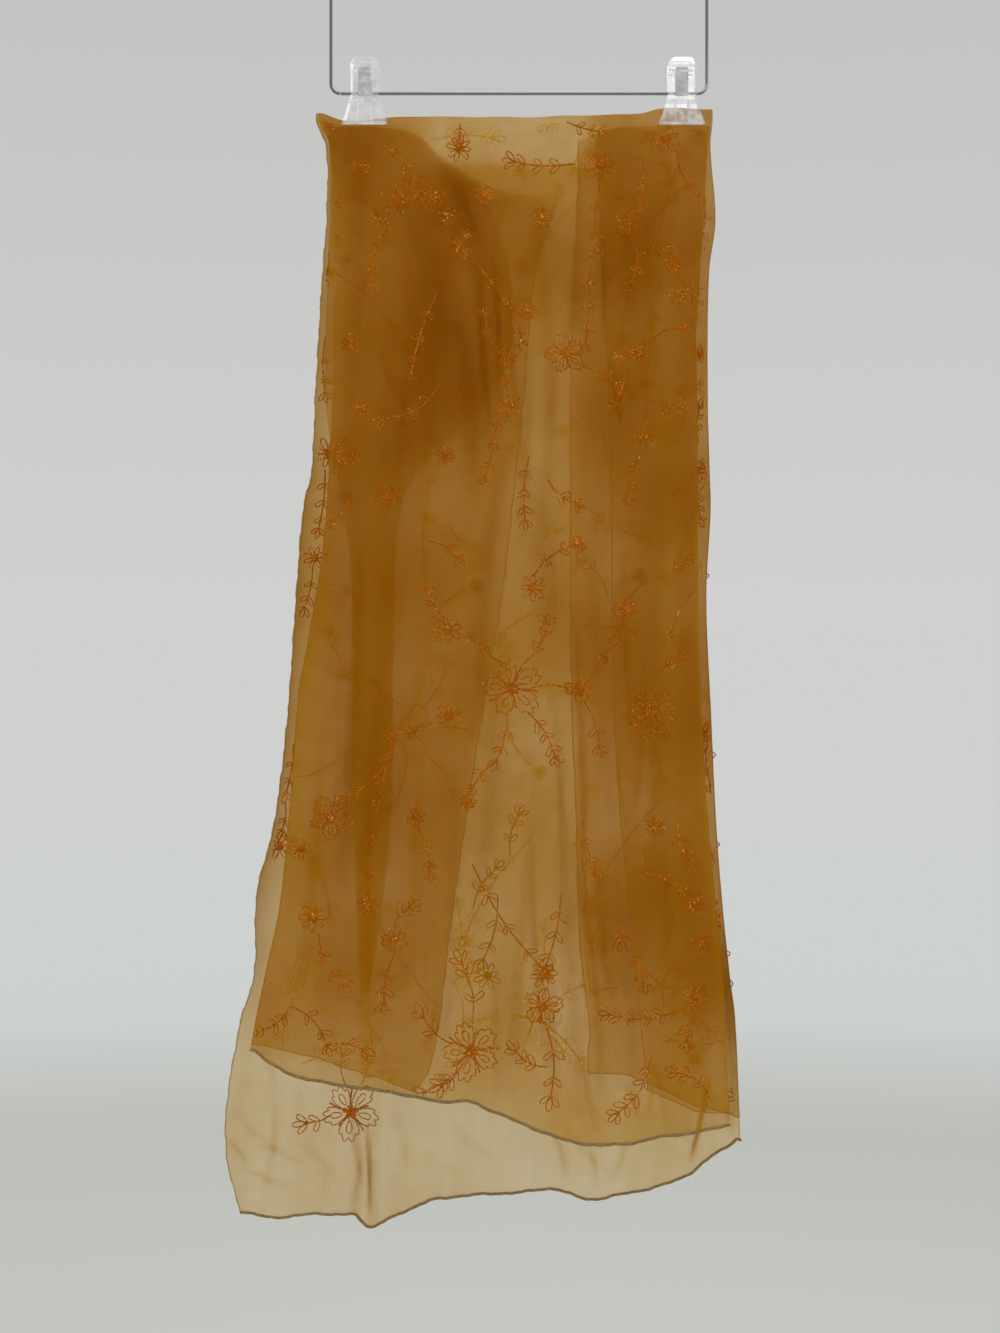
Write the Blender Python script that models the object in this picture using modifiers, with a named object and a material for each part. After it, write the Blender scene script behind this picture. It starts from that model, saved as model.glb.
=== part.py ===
"""Organza scarf folded over at half its length and held by the two clips of a wire hanger.

The scarf is one oblong of thin cloth. Its long sides are turned in, and it hangs double: a front
half and a longer back half that meet at the crown of the fold. Metres, +Z up, front towards -Y.
The origin is the point inside the hook that rests on a rail.
"""

import math
from collections import namedtuple

import bmesh
import bpy
from mathutils import Vector

MM = 0.001
SEAM_GAP = 0.3 * MM

# Hanger wire, from the hook down to the clip bar
WIRE_RADIUS = 1.5 * MM
HOOK_INNER_RADIUS = 22.0 * MM
HOOK_TIP_ANGLE = math.radians(185.0)
HOOK_END_ANGLE = math.radians(70.0)
HOOK_STEM_BOTTOM = -95.0 * MM
BOSS_RADIUS = 5.0 * MM
BOSS_HEIGHT = 14.0 * MM
SHOULDER_TOP = -102.0 * MM
SHOULDER_DROP = 52.0 * MM
UPRIGHT_HEIGHT = 118.0 * MM
BAR_HALF_WIDTH = 179.5 * MM
LOWER_BEND_RADIUS = 9.0 * MM
UPPER_BEND_RADIUS = 14.0 * MM
WIRE_ROUNDNESS = 2
HOOK_STEPS = 22
NECK_STEPS = 6
BEND_STEPS = 5
BAR_Z = SHOULDER_TOP - SHOULDER_DROP - UPRIGHT_HEIGHT

# Clips
JAW_CENTRES = {"left": -147.0 * MM, "right": 155.5 * MM}
CLIP_WALL = 2.0 * MM
SPRING_WIDTH = 12.0 * MM
SPRING_WALL = 0.6 * MM
SPRING_LEG_ROOT = 2.0 * MM
SPRING_LEG_TOP = 24.0 * MM
TAB_INNER_FACE = 7.2 * MM
SPRING_BEND_STEPS = 8
CLIP_SHARES = (-1.0, -0.5, 0.0, 0.5, 1.0)

# Cloth
CLOTH_WALL = 1.0 * MM
CROWN_RADIUS = 3.2 * MM
JAW_GRIP_DROP = 34.0 * MM
HEM_RADIUS = 1.1 * MM
HEM_CLEARANCE = 0.05 * MM
HEM_ROUNDNESS = 1
FULL_FOLD_DROP = 1000.0 * MM
TURN_SLACK = 0.4
CROWN_ANGLES = [math.radians(degrees) for degrees in (12.0, 40.0, 68.0)]

# Tables are in millimetres. "drop" is the height below the clip bar, "across" is X.
Edge = namedtuple("Edge", "drop left right")
Line = namedtuple("Line", "across drop")
Free = namedtuple("Free", "drop across")
Spread = namedtuple("Spread", "drop layer turn tuck")
Fold = namedtuple("Fold", "top_x hem_x top_width hem_width mid_height hem_height")

# How far each half stands off the middle plane, and how far its turned-in sides and the back's
# tuck lie inside it
SPREAD = [
    Spread(0, 3.2, 2.1, 1.35),
    Spread(34, 3.2, 2.1, 1.35),
    Spread(120, 5.0, 2.4, 2.4),
    Spread(300, 8.5, 3.2, 3.2),
    Spread(600, 12.5, 4.2, 4.2),
    Spread(900, 16.0, 5.0, 5.0),
    Spread(1100, 17.5, 5.0, 5.0),
]

CROWN = [
    Line(-196, 19.0),
    Line(-188, 18.5),
    Line(-177, 23.0),
    Line(-165, 26.5),
    Line(-150, 26.0),
    Line(-125, 23.5),
    Line(-94, 21.5),
    Line(-56, 22.4),
    Line(0, 22.4),
    Line(40, 21.5),
    Line(77, 20.5),
    Line(116, 18.6),
    Line(134, 14.8),
    Line(188, 14.8),
]

BACK_EDGES = [
    Edge(18, -193, 185),
    Edge(26, -194, 185),
    Edge(50, -184, 183),
    Edge(120, -184, 188),
    Edge(170, -188, 182),
    Edge(285, -193, 179),
    Edge(360, -198, 181),
    Edge(395, -206, 182),
    Edge(480, -213, 175),
    Edge(600, -221, 181),
    Edge(700, -233, 187),
    Edge(765, -250, 192),
    Edge(845, -253, 201),
    Edge(885, -266, 206),
    Edge(970, -281, 212),
    Edge(1020, -281, 214),
    Edge(1075, -269, 214),
]

FRONT_EDGES = [
    Edge(15, -190, 184),
    Edge(26, -191, 183),
    Edge(50, -180, 180),
    Edge(120, -178, 176),
    Edge(230, -177, 169),
    Edge(300, -178, 170),
    Edge(430, -186, 170),
    Edge(520, -200, 171),
    Edge(570, -209, 172),
    Edge(675, -217, 176),
    Edge(775, -227, 181),
    Edge(835, -240, 186),
    Edge(915, -255, 192),
    Edge(990, -258, 199),
]

BACK_HEM_LINE = [
    Line(-281, 1066),
    Line(-268, 1069),
    Line(-245, 1073),
    Line(-161, 1069),
    Line(-151, 1079),
    Line(-143, 1083),
    Line(-131, 1076),
    Line(-101, 1064),
    Line(-79, 1054),
    Line(-37, 1051),
    Line(34, 1045),
    Line(75, 1055),
    Line(114, 1047),
    Line(147, 1038),
    Line(166, 1029),
    Line(182, 1015),
    Line(206, 1001),
    Line(215, 990),
]

FRONT_HEM_LINE = [
    Line(-256, 910),
    Line(-222, 932),
    Line(-207, 939),
    Line(-147, 949),
    Line(-79, 961),
    Line(-47, 961),
    Line(-30, 970),
    Line(8, 986),
    Line(46, 999),
    Line(95, 1003),
    Line(142, 994),
    Line(200, 986),
]

# The turned-in sides aren't clipped between the clips, so their folded tops sag there
LEFT_SAG = [
    Line(-192, 31),
    Line(-124, 33),
    Line(-95, 40),
    Line(-77, 58),
    Line(-62, 68),
    Line(-45, 81),
    Line(-12, 94),
    Line(42, 100),
]

RIGHT_SAG = [
    Line(56, 46),
    Line(80, 36),
    Line(100, 32),
    Line(190, 31),
]

FRONT_LEFT_FREE = [
    Free(98, 38),
    Free(140, 25),
    Free(190, 13),
    Free(285, 5),
    Free(410, -8),
    Free(484, -17),
    Free(624, -40),
    Free(708, -53),
    Free(794, -65),
    Free(864, -73),
    Free(905, -79),
    Free(930, -86),
    Free(945, -94),
    Free(954, -104),
]

FRONT_LEFT_HEM = [
    Line(-255, 907),
    Line(-222, 914),
    Line(-177, 926),
    Line(-130, 942),
    Line(-101, 954),
]

FRONT_RIGHT_FREE = [
    Free(44, 57),
    Free(100, 56),
    Free(230, 50),
    Free(580, 50),
    Free(677, 54),
    Free(813, 58),
    Free(893, 67),
    Free(925, 65),
    Free(936, 68),
]

FRONT_RIGHT_HEM = [
    Line(65, 936),
    Line(100, 938),
    Line(125, 947),
    Line(160, 964),
    Line(200, 976),
]

BACK_RIGHT_FREE = [
    Free(44, 74),
    Free(150, 80),
    Free(330, 88),
    Free(600, 92),
    Free(800, 108),
    Free(900, 118),
    Free(946, 124),
]

BACK_RIGHT_HEM = [
    Line(120, 946),
    Line(142, 956),
    Line(170, 968),
    Line(199, 971),
    Line(214, 976),
]

# The back's left side starts as wide as the others and runs out lower down in a narrow tuck
BACK_LEFT_TUCK = [
    Edge(30, -182, -50),
    Edge(80, -181, -40),
    Edge(140, -182, -16),
    Edge(200, -184, -6),
    Edge(260, -186, -12),
    Edge(305, -184, -42),
    Edge(345, -178, -84),
    Edge(385, -170, -110),
    Edge(450, -161, -118),
    Edge(580, -160, -121),
    Edge(680, -159, -122),
    Edge(765, -156, -130),
    Edge(860, -151, -144),
]

BACK_LEFT_SAG = [
    Line(-192, 31),
    Line(-124, 33),
    Line(-95, 42),
    Line(-77, 60),
    Line(-45, 84),
    Line(0, 100),
]

BACK_LEFT_END = [
    Line(-200, 862),
    Line(0, 862),
]

# The largest folds. Each runs from its place under the crown to its place at the hem.
FRONT_FOLDS = [
    Fold(-178, -232, 16, 24, 5.5, 14.5),
    Fold(-140, -168, 18, 26, 9.0, 11.5),
    Fold(-128, -52, 16, 24, 8.5, 17.0),
    Fold(-60, 20, 20, 26, 5.5, 11.5),
    Fold(34, 66, 20, 24, 8.5, 18.0),
    Fold(92, 112, 18, 24, 7.0, 11.5),
    Fold(138, 160, 18, 22, 9.0, 15.5),
]

BACK_FOLDS = [
    Fold(-182, -252, 16, 22, 5.5, 15.5),
    Fold(-138, -200, 18, 24, 8.5, 11.5),
    Fold(-104, -147, 12, 12, 4.0, 14.5),
    Fold(-60, -96, 20, 26, 7.0, 13.0),
    Fold(-4, -36, 22, 26, 8.5, 15.5),
    Fold(48, 30, 20, 24, 7.0, 10.5),
    Fold(96, 94, 18, 26, 9.0, 17.0),
    Fold(148, 152, 16, 22, 7.0, 11.5),
    Fold(172, 196, 14, 16, 4.0, 10.5),
]

FRONT = -1
BACK = 1


def reader(table, column, key="drop"):
    """A smooth curve through one column of a table, as a function of its key column."""
    keys = [getattr(row, key) for row in table]
    values = [getattr(row, column) for row in table]
    last = len(keys) - 1

    def slope(i):
        low, high = max(i - 1, 0), min(i + 1, last)
        return (values[high] - values[low]) / (keys[high] - keys[low])

    def read(metres):
        at = min(max(metres / MM, keys[0]), keys[-1])
        i = max(k for k in range(last) if keys[k] <= at)
        span = keys[i + 1] - keys[i]
        t = (at - keys[i]) / span
        ease = t * t * (3.0 - 2.0 * t)
        start = slope(i) * span * t * (1.0 - t) ** 2
        end = slope(i + 1) * span * t * t * (1.0 - t)
        return MM * (values[i] + (values[i + 1] - values[i]) * ease + start - end)

    return read


def between(low, high, share):
    return low + (high - low) * share


def fold_height(folds, x, drop):
    """How far the folds lift the cloth outwards at a point."""
    share = max(drop - JAW_GRIP_DROP, 0.0) / (FULL_FOLD_DROP - JAW_GRIP_DROP)
    lift = 0.0
    for fold in folds:
        centre = MM * between(fold.top_x, fold.hem_x, share)
        width = MM * between(fold.top_width, fold.hem_width, share)
        if share < 0.5:
            height = MM * fold.mid_height * math.sin(math.pi * share)
        else:
            height = MM * between(fold.mid_height, fold.hem_height, 2.0 * share - 1.0)
        lift += height * math.exp(-(((x - centre) / width) ** 2))
    return lift


layer_distance = reader(SPREAD, "layer")
turn_distance = reader(SPREAD, "turn")
tuck_distance = reader(SPREAD, "tuck")


def depth(half, x, drop, inset):
    """Y of the front or back half, or of a stretch that lies inset within it."""
    lift = fold_height(FRONT_FOLDS if half == FRONT else BACK_FOLDS, x, drop)
    out = layer_distance(drop) + lift
    if inset:
        out -= inset(drop) + TURN_SLACK * lift
    return half * out


def stations(count, extra=()):
    """Even places along a stretch of cloth, and the extra ones that a crease or corner needs."""
    return sorted({i / count for i in range(count + 1)} | set(extra))


def fold_angles(arc_radius):
    """The quarter turn at a folded side, less the gap to the piece that goes on from it."""
    lean = CLOTH_WALL / 2.0 * math.sin(math.pi / 8.0)
    stop = math.pi / 2.0 - (SEAM_GAP / 2.0 + lean) / arc_radius
    return [stop / 2.0, stop]


# A stretch of cloth. inset is its distance inside its half, or None where it is the half itself.
Stretch = namedtuple("Stretch", "half inset crown top hem left right left_fold right_fold")


def outline_point(stretch, side, v):
    """Where one side of a stretch lies at the share v of its length."""
    x = side(stretch.top(0.0))
    drop = 0.0
    for _ in range(6):
        drop = between(stretch.top(x), stretch.hem(x), v)
        x = side(drop)
    return x


def section(stretch, v, across):
    """One section through a stretch of cloth, from its left side to its right."""
    left = outline_point(stretch, stretch.left, v)
    right = outline_point(stretch, stretch.right, v)
    radius = turn_distance(between(stretch.top(left), stretch.hem(left), v)) / 2.0
    low = left + radius if stretch.left_fold else left
    high = right - radius if stretch.right_fold else right
    towards = stretch.half if stretch.inset else -stretch.half

    def flat(x):
        drop = between(stretch.top(x), stretch.hem(x), v)
        return Vector((x, depth(stretch.half, x, drop, stretch.inset), BAR_Z - drop))

    def arc(root, side, angle):
        point = flat(root)
        point.x += side * radius * math.sin(angle)
        point.y += towards * radius * (1.0 - math.cos(angle))
        return point

    points = []
    if stretch.left_fold:
        points += [arc(low, -1.0, angle) for angle in reversed(fold_angles(radius))]
    points += [flat(between(low, high, share)) for share in across]
    if stretch.right_fold:
        points += [arc(high, 1.0, angle) for angle in fold_angles(radius)]
    return points


def crown_sections(stretch, across):
    """The top of a half, bent over towards the other half as far as the seam gap."""
    start = section(stretch, 0.0, across)
    seam_angle = SEAM_GAP / 2.0 / CROWN_RADIUS
    rows = []
    for angle in [seam_angle] + CROWN_ANGLES:
        row = []
        for point in start:
            share = abs(point.y) / CROWN_RADIUS
            bent = Vector(point)
            bent.y = stretch.half * CROWN_RADIUS * math.sin(angle) * share
            bent.z += CROWN_RADIUS * math.cos(angle)
            row.append(bent)
        rows.append(row)
    return rows


def sections(stretch, down, across):
    body = [section(stretch, share, across) for share in down]
    return (crown_sections(stretch, across) if stretch.crown else []) + body


def link(obj, material, collection):
    obj.data.materials.append(material)
    collection.objects.link(obj)
    return obj


def make_material(name, colour, roughness, metallic=0.0, alpha=1.0):
    material = bpy.data.materials.new(name)
    material.use_nodes = True
    shader = material.node_tree.nodes["Principled BSDF"]
    shader.inputs["Base Color"].default_value = (*colour, 1.0)
    shader.inputs["Roughness"].default_value = roughness
    shader.inputs["Metallic"].default_value = metallic
    shader.inputs["Alpha"].default_value = alpha
    return material


def make_wall(name, rows, wall, material, collection):
    """A grid laid through the sections and thickened evenly to the wall."""
    bm = bmesh.new()
    columns = len(rows[0]) - 1
    bmesh.ops.create_grid(bm, x_segments=columns, y_segments=len(rows) - 1, size=0.5)
    for vert in bm.verts:
        column = round((vert.co.x + 0.5) * columns)
        row = round((0.5 - vert.co.y) * (len(rows) - 1))
        vert.co = rows[row][column]
    mesh = bpy.data.meshes.new(name)
    bm.to_mesh(mesh)
    bm.free()
    mesh.shade_smooth()
    obj = link(bpy.data.objects.new(name, mesh), material, collection)
    solidify = obj.modifiers.new("wall", "SOLIDIFY")
    solidify.thickness = wall
    solidify.offset = 0.0
    return obj


def make_tube(name, points, radius, roundness, material, collection):
    curve = bpy.data.curves.new(name, "CURVE")
    curve.dimensions = "3D"
    curve.bevel_depth = radius
    curve.bevel_resolution = roundness
    curve.use_fill_caps = True
    spline = curve.splines.new("POLY")
    spline.points.add(len(points) - 1)
    for spot, point in zip(spline.points, points):
        spot.co = (*point, 1.0)
    return link(bpy.data.objects.new(name, curve), material, collection)


def beside(edge, inner):
    """The points of a cloth edge, moved out past it by the hem's radius and the seam gap."""
    reach = HEM_RADIUS + SEAM_GAP + HEM_CLEARANCE
    moved = []
    for i, point in enumerate(edge):
        along = (edge[min(i + 1, len(edge) - 1)] - edge[max(i - 1, 0)]).normalized()
        out = point - inner[i]
        out = (out - along * out.dot(along)).normalized()
        moved.append(point + out * reach)
    return moved


def lower_edge(rows):
    return beside(rows[-1], rows[-2])


def side_edge(rows, column, inner_column):
    edge = [row[column] for row in rows]
    return beside(edge, [row[inner_column] for row in rows])


def free_border(rows, free_at_right):
    """The hem of a turned-in side: down its free edge, round the corner and along its end."""
    column, inner = (-1, -2) if free_at_right else (0, 1)
    down = side_edge(rows, column, inner)
    along = lower_edge(rows)
    if free_at_right:
        along = along[::-1]
    corner = down[-1] + along[0] - rows[-1][column]
    return down[:-1] + [corner] + along[1:]


def across_reader(table):
    return reader(table, "drop", "across")


def cloth_stretches():
    """Each stretch of the scarf, with its sections down and its places across."""
    crown = across_reader(CROWN)
    front_left = reader(FRONT_EDGES, "left")
    front_right = reader(FRONT_EDGES, "right")
    back_right = reader(BACK_EDGES, "right")

    def crown_root(x):
        return crown(x) + CROWN_RADIUS

    front = Stretch(
        half=FRONT, inset=None, crown=True,
        top=crown_root, hem=across_reader(FRONT_HEM_LINE),
        left=front_left, right=front_right, left_fold=True, right_fold=True,
    )
    back = Stretch(
        half=BACK, inset=None, crown=True,
        top=crown_root, hem=across_reader(BACK_HEM_LINE),
        left=reader(BACK_EDGES, "left"), right=back_right, left_fold=False, right_fold=True,
    )
    front_left_turn = Stretch(
        half=FRONT, inset=turn_distance, crown=False,
        top=across_reader(LEFT_SAG), hem=across_reader(FRONT_LEFT_HEM),
        left=front_left, right=reader(FRONT_LEFT_FREE, "across"), left_fold=True, right_fold=False,
    )
    front_right_turn = Stretch(
        half=FRONT, inset=turn_distance, crown=False,
        top=across_reader(RIGHT_SAG), hem=across_reader(FRONT_RIGHT_HEM),
        left=reader(FRONT_RIGHT_FREE, "across"), right=front_right, left_fold=False, right_fold=True,
    )
    back_right_turn = Stretch(
        half=BACK, inset=turn_distance, crown=False,
        top=across_reader(RIGHT_SAG), hem=across_reader(BACK_RIGHT_HEM),
        left=reader(BACK_RIGHT_FREE, "across"), right=back_right, left_fold=False, right_fold=True,
    )
    back_left_turn = Stretch(
        half=BACK, inset=tuck_distance, crown=False,
        top=across_reader(BACK_LEFT_SAG), hem=across_reader(BACK_LEFT_END),
        left=reader(BACK_LEFT_TUCK, "left"), right=reader(BACK_LEFT_TUCK, "right"),
        left_fold=False, right_fold=False,
    )
    tuck_places = (0.235, 0.258, 0.28, 0.93)
    corner_place = (0.975,)
    below_jaws = (0.014,)
    return {
        "front_drop": (front, stations(19, below_jaws), stations(20)),
        "back_drop": (back, stations(21, below_jaws), stations(20, tuck_places)),
        "front_left_turn": (front_left_turn, stations(18, corner_place), stations(7)),
        "front_right_turn": (front_right_turn, stations(16, corner_place), stations(5)),
        "back_right_turn": (back_right_turn, stations(16, corner_place), stations(4)),
        "back_left_turn": (back_left_turn, stations(17), stations(5)),
    }


def build_cloth(collection):
    organza = make_material("organza", (0.48, 0.26, 0.07), 0.45, alpha=0.6)
    hemming = make_material("rolled_hem", (0.26, 0.16, 0.06), 0.6)
    rows = {}
    for name, (stretch, down, across) in cloth_stretches().items():
        rows[name] = sections(stretch, down, across)
        make_wall(name, rows[name], CLOTH_WALL, organza, collection)

    below_crown = len(CROWN_ANGLES) + 1
    hems = {
        "front_hem": lower_edge(rows["front_drop"]),
        "back_hem": lower_edge(rows["back_drop"]),
        "back_side_hem": side_edge(rows["back_drop"], 0, 1)[below_crown:-1],
        "front_left_turn_hem": free_border(rows["front_left_turn"], True),
        "front_right_turn_hem": free_border(rows["front_right_turn"], False),
        "back_right_turn_hem": free_border(rows["back_right_turn"], False),
    }
    for name, points in hems.items():
        make_tube(name, points, HEM_RADIUS, HEM_ROUNDNESS, hemming, collection)


def arc_points(centre, radius, start, stop, count):
    """Points round a circle that stands in the plane of the hanger."""
    points = []
    for i in range(count + 1):
        angle = between(start, stop, i / count)
        points.append(centre + Vector((radius * math.cos(angle), 0.0, radius * math.sin(angle))))
    return points


def hook_route():
    radius = HOOK_INNER_RADIUS + WIRE_RADIUS
    middle = Vector((0.0, 0.0, -HOOK_INNER_RADIUS))
    loop = arc_points(middle, radius, HOOK_TIP_ANGLE, -HOOK_END_ANGLE, HOOK_STEPS)
    return_radius = radius * math.cos(HOOK_END_ANGLE) / (1.0 - math.cos(HOOK_END_ANGLE))
    end = loop[-1]
    centre = end + Vector((math.cos(HOOK_END_ANGLE), 0.0, -math.sin(HOOK_END_ANGLE))) * return_radius
    centre.x = -return_radius
    start_angle = math.atan2(end.z - centre.z, end.x - centre.x)
    neck = arc_points(centre, return_radius, start_angle, 0.0, NECK_STEPS)
    return loop + neck[1:] + [Vector((0.0, 0.0, HOOK_STEM_BOTTOM))]


def upright_route(side):
    """One side of the frame: the bend up from the bar, the upright and the bend into the shoulder."""
    slope = math.atan2(SHOULDER_DROP, BAR_HALF_WIDTH)
    lower_centre = Vector((BAR_HALF_WIDTH - LOWER_BEND_RADIUS, 0.0, BAR_Z + LOWER_BEND_RADIUS))
    bend_length = UPPER_BEND_RADIUS * math.tan((math.pi / 2.0 - slope) / 2.0)
    upper_centre = Vector(
        (BAR_HALF_WIDTH - UPPER_BEND_RADIUS, 0.0, BAR_Z + UPRIGHT_HEIGHT - bend_length)
    )
    points = arc_points(lower_centre, LOWER_BEND_RADIUS, -math.pi / 2.0, 0.0, BEND_STEPS)
    points += arc_points(upper_centre, UPPER_BEND_RADIUS, 0.0, math.pi / 2.0 - slope, BEND_STEPS)
    return [Vector((side * p.x, p.y, p.z)) for p in points]


def build_hanger(collection):
    chrome = make_material("chrome_wire", (0.62, 0.63, 0.64), 0.12, metallic=1.0)
    make_tube("hanger_hook", hook_route(), WIRE_RADIUS, WIRE_ROUNDNESS, chrome, collection)
    bm = bmesh.new()
    bmesh.ops.create_cone(
        bm, cap_ends=True, segments=20, radius1=BOSS_RADIUS, radius2=BOSS_RADIUS, depth=BOSS_HEIGHT
    )
    boss = bpy.data.meshes.new("hanger_boss")
    bm.to_mesh(boss)
    bm.free()
    boss_obj = link(bpy.data.objects.new("hanger_boss", boss), chrome, collection)
    boss_obj.location.z = HOOK_STEM_BOTTOM - SEAM_GAP - BOSS_HEIGHT / 2.0

    bar_end = BAR_HALF_WIDTH - LOWER_BEND_RADIUS - SEAM_GAP
    bar = [Vector((-bar_end, 0.0, BAR_Z)), Vector((bar_end, 0.0, BAR_Z))]
    make_tube("hanger_bar", bar, WIRE_RADIUS, WIRE_ROUNDNESS, chrome, collection)
    slope = math.atan2(SHOULDER_DROP, BAR_HALF_WIDTH)
    for label, side in (("left", -1.0), ("right", 1.0)):
        route = upright_route(side)
        make_tube("hanger_upright_" + label, route, WIRE_RADIUS, WIRE_ROUNDNESS, chrome, collection)
        uphill = Vector((-side * math.cos(slope), 0.0, math.sin(slope)))
        start = route[-1] + uphill * SEAM_GAP
        run = (abs(start.x) - BOSS_RADIUS - SEAM_GAP) / math.cos(slope) - WIRE_RADIUS * math.tan(slope)
        shoulder = [start, start + uphill * run]
        make_tube("hanger_shoulder_" + label, shoulder, WIRE_RADIUS, WIRE_ROUNDNESS, chrome, collection)


Clip = namedtuple("Clip", "height half_width out")

# One half of a clip, from the lip of its jaw up to the tab: height from the bar, half width and
# distance of its inner face from the middle plane
CLIP_PROFILE = [
    Clip(-30.6, 22.0, 4.05),
    Clip(-27.5, 21.6, 4.05),
    Clip(-20.0, 18.4, 4.05),
    Clip(-12.0, 16.2, 4.05),
    Clip(-7.0, 15.0, 4.05),
    Clip(-4.0, 13.4, 4.05),
    Clip(2.0, 13.4, 4.1),
    Clip(10.0, 13.4, 5.0),
    Clip(20.0, 13.4, 6.6),
    Clip(27.0, 13.4, 7.8),
    Clip(31.0, 11.2, 8.5),
    Clip(33.0, 8.0, 8.8),
]


def clip_half_rows(centre, half):
    rows = []
    for row in reversed(CLIP_PROFILE):
        y = half * (row.out * MM + CLIP_WALL / 2.0)
        z = BAR_Z + row.height * MM
        rows.append([Vector((centre + row.half_width * MM * share, y, z)) for share in CLIP_SHARES])
    return rows


def spring_rows(centre):
    """A steel strip bent under the bar, whose two legs push the clip's tabs apart."""
    loop = WIRE_RADIUS + SEAM_GAP + SPRING_WALL / 2.0
    tab_out = TAB_INNER_FACE - SEAM_GAP - SPRING_WALL / 2.0
    leg_top = Vector((0.0, tab_out, BAR_Z + SPRING_LEG_TOP))
    leg_root = Vector((0.0, loop, BAR_Z + SPRING_LEG_ROOT))
    side = [leg_top, leg_top.lerp(leg_root, 0.5), leg_root]
    round_bar = [
        Vector((0.0, loop * math.cos(a), BAR_Z - loop * math.sin(a)))
        for a in (math.pi * i / SPRING_BEND_STEPS for i in range(SPRING_BEND_STEPS + 1))
    ]
    path = side + round_bar + [Vector((0.0, -p.y, p.z)) for p in reversed(side)]
    half_width = Vector((SPRING_WIDTH / 2.0, 0.0, 0.0))
    middle = Vector((centre, 0.0, 0.0))
    return [[middle + p - half_width, middle + p + half_width] for p in path]


def build_clips(collection):
    clear = make_material("clear_plastic", (0.86, 0.88, 0.88), 0.08, alpha=0.4)
    steel = make_material("spring_steel", (0.55, 0.56, 0.57), 0.25, metallic=1.0)
    for label, centre in JAW_CENTRES.items():
        make_wall(label + "_clip_front", clip_half_rows(centre, FRONT), CLIP_WALL, clear, collection)
        make_wall(label + "_clip_back", clip_half_rows(centre, BACK), CLIP_WALL, clear, collection)
        make_wall(label + "_clip_spring", spring_rows(centre), SPRING_WALL, steel, collection)


for leftover in list(bpy.data.objects):
    bpy.data.objects.remove(leftover, do_unlink=True)
parts = bpy.data.collections.new("organza_scarf_on_hanger")
bpy.context.scene.collection.children.link(parts)
build_hanger(parts)
build_clips(parts)
build_cloth(parts)
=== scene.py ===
"""A sheer organza scarf, hung double from the two clips of a wire hanger."""

import math
import random

import bmesh
import bpy
import numpy as np
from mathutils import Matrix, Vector


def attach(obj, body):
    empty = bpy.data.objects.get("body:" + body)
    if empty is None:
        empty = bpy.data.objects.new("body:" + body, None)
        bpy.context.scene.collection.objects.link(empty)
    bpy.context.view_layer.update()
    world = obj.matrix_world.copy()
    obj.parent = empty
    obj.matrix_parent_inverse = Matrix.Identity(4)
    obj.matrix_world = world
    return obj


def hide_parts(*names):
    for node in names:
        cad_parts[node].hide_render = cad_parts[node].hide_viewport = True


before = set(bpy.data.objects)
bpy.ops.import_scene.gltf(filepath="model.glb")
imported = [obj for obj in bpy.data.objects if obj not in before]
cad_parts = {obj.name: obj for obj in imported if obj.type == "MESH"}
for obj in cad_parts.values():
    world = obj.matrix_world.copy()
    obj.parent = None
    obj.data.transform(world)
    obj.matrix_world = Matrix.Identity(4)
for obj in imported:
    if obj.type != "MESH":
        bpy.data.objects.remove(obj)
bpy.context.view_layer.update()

# Camera: the scarf was photographed square on, from about the middle of its length.
# The picture is 0.955 m wide and 1.273 m tall in the plane of the hanger.
MM = 0.001
PICTURE_HEIGHT = 1.273
CAMERA_DISTANCE = 2.4
CAMERA_X = -0.018
CAMERA_Z = -0.819
SENSOR = 36.0
camera_data = bpy.data.cameras.new("camera")
camera_data.sensor_width = SENSOR
camera_data.lens = SENSOR * CAMERA_DISTANCE / PICTURE_HEIGHT
camera = bpy.data.objects.new("camera", camera_data)
camera.location = (CAMERA_X, -CAMERA_DISTANCE, CAMERA_Z)
camera.rotation_euler = (math.pi / 2.0, 0.0, 0.0)
bpy.context.scene.collection.objects.link(camera)
bpy.context.scene.camera = camera
bpy.context.scene.view_settings.view_transform = "Standard"
bpy.context.scene.cycles.transparent_max_bounces = 32
bpy.context.scene.cycles.transmission_bounces = 8
bpy.context.scene.cycles.diffuse_bounces = 4
bpy.context.scene.cycles.max_bounces = 9

# Studio: one pale painted shell, a round floor that curves up into a plain wall all round.
# It stands well clear of the hanger, so that it can be seen from any side.
FLOOR_Z = -1.95
WALL_RADIUS = 5.0
COVE_RADIUS = 1.2
WALL_TOP = 5.0
COVE_STEPS = 12
ROUND_STEPS = 96
PALEST_Z = 1.2
# share of the way up from the floor, colour of the paint with painted shade: darker on the floor and
# towards the top
WALL_TONES_WITH_SHADE = [
    (0.0, (0.70, 0.715, 0.67)), (0.06, (0.83, 0.875, 0.86)), (0.42, (0.865, 0.87, 0.86)),
    (0.95, (0.755, 0.765, 0.745)),
]


def new_object(name, mesh):
    made = bpy.data.objects.new(name, mesh)
    bpy.context.scene.collection.objects.link(made)
    return made


def mesh_from(bm, name):
    mesh = bpy.data.meshes.new(name)
    bm.to_mesh(mesh)
    bm.free()
    mesh.shade_smooth()
    return mesh


def new_material(name):
    """An empty node material: its nodes, its links and its output."""
    material = bpy.data.materials.new(name)
    material.use_nodes = True
    nodes = material.node_tree.nodes
    nodes.clear()
    return material, nodes, material.node_tree.links, nodes.new("ShaderNodeOutputMaterial")


def add_node(nodes, kind, **values):
    """A node and the values of its sockets, whose names have _ for each space."""
    node = nodes.new("ShaderNode" + kind)
    for socket, value in values.items():
        node.inputs[socket.replace("_", " ")].default_value = value
    return node


def join(links, *pairs):
    """Joins nodes: each pair is a node, its output, the next node and its input."""
    for node, output, following, socket in pairs:
        links.new(node.outputs[output], following.inputs[socket])


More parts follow.
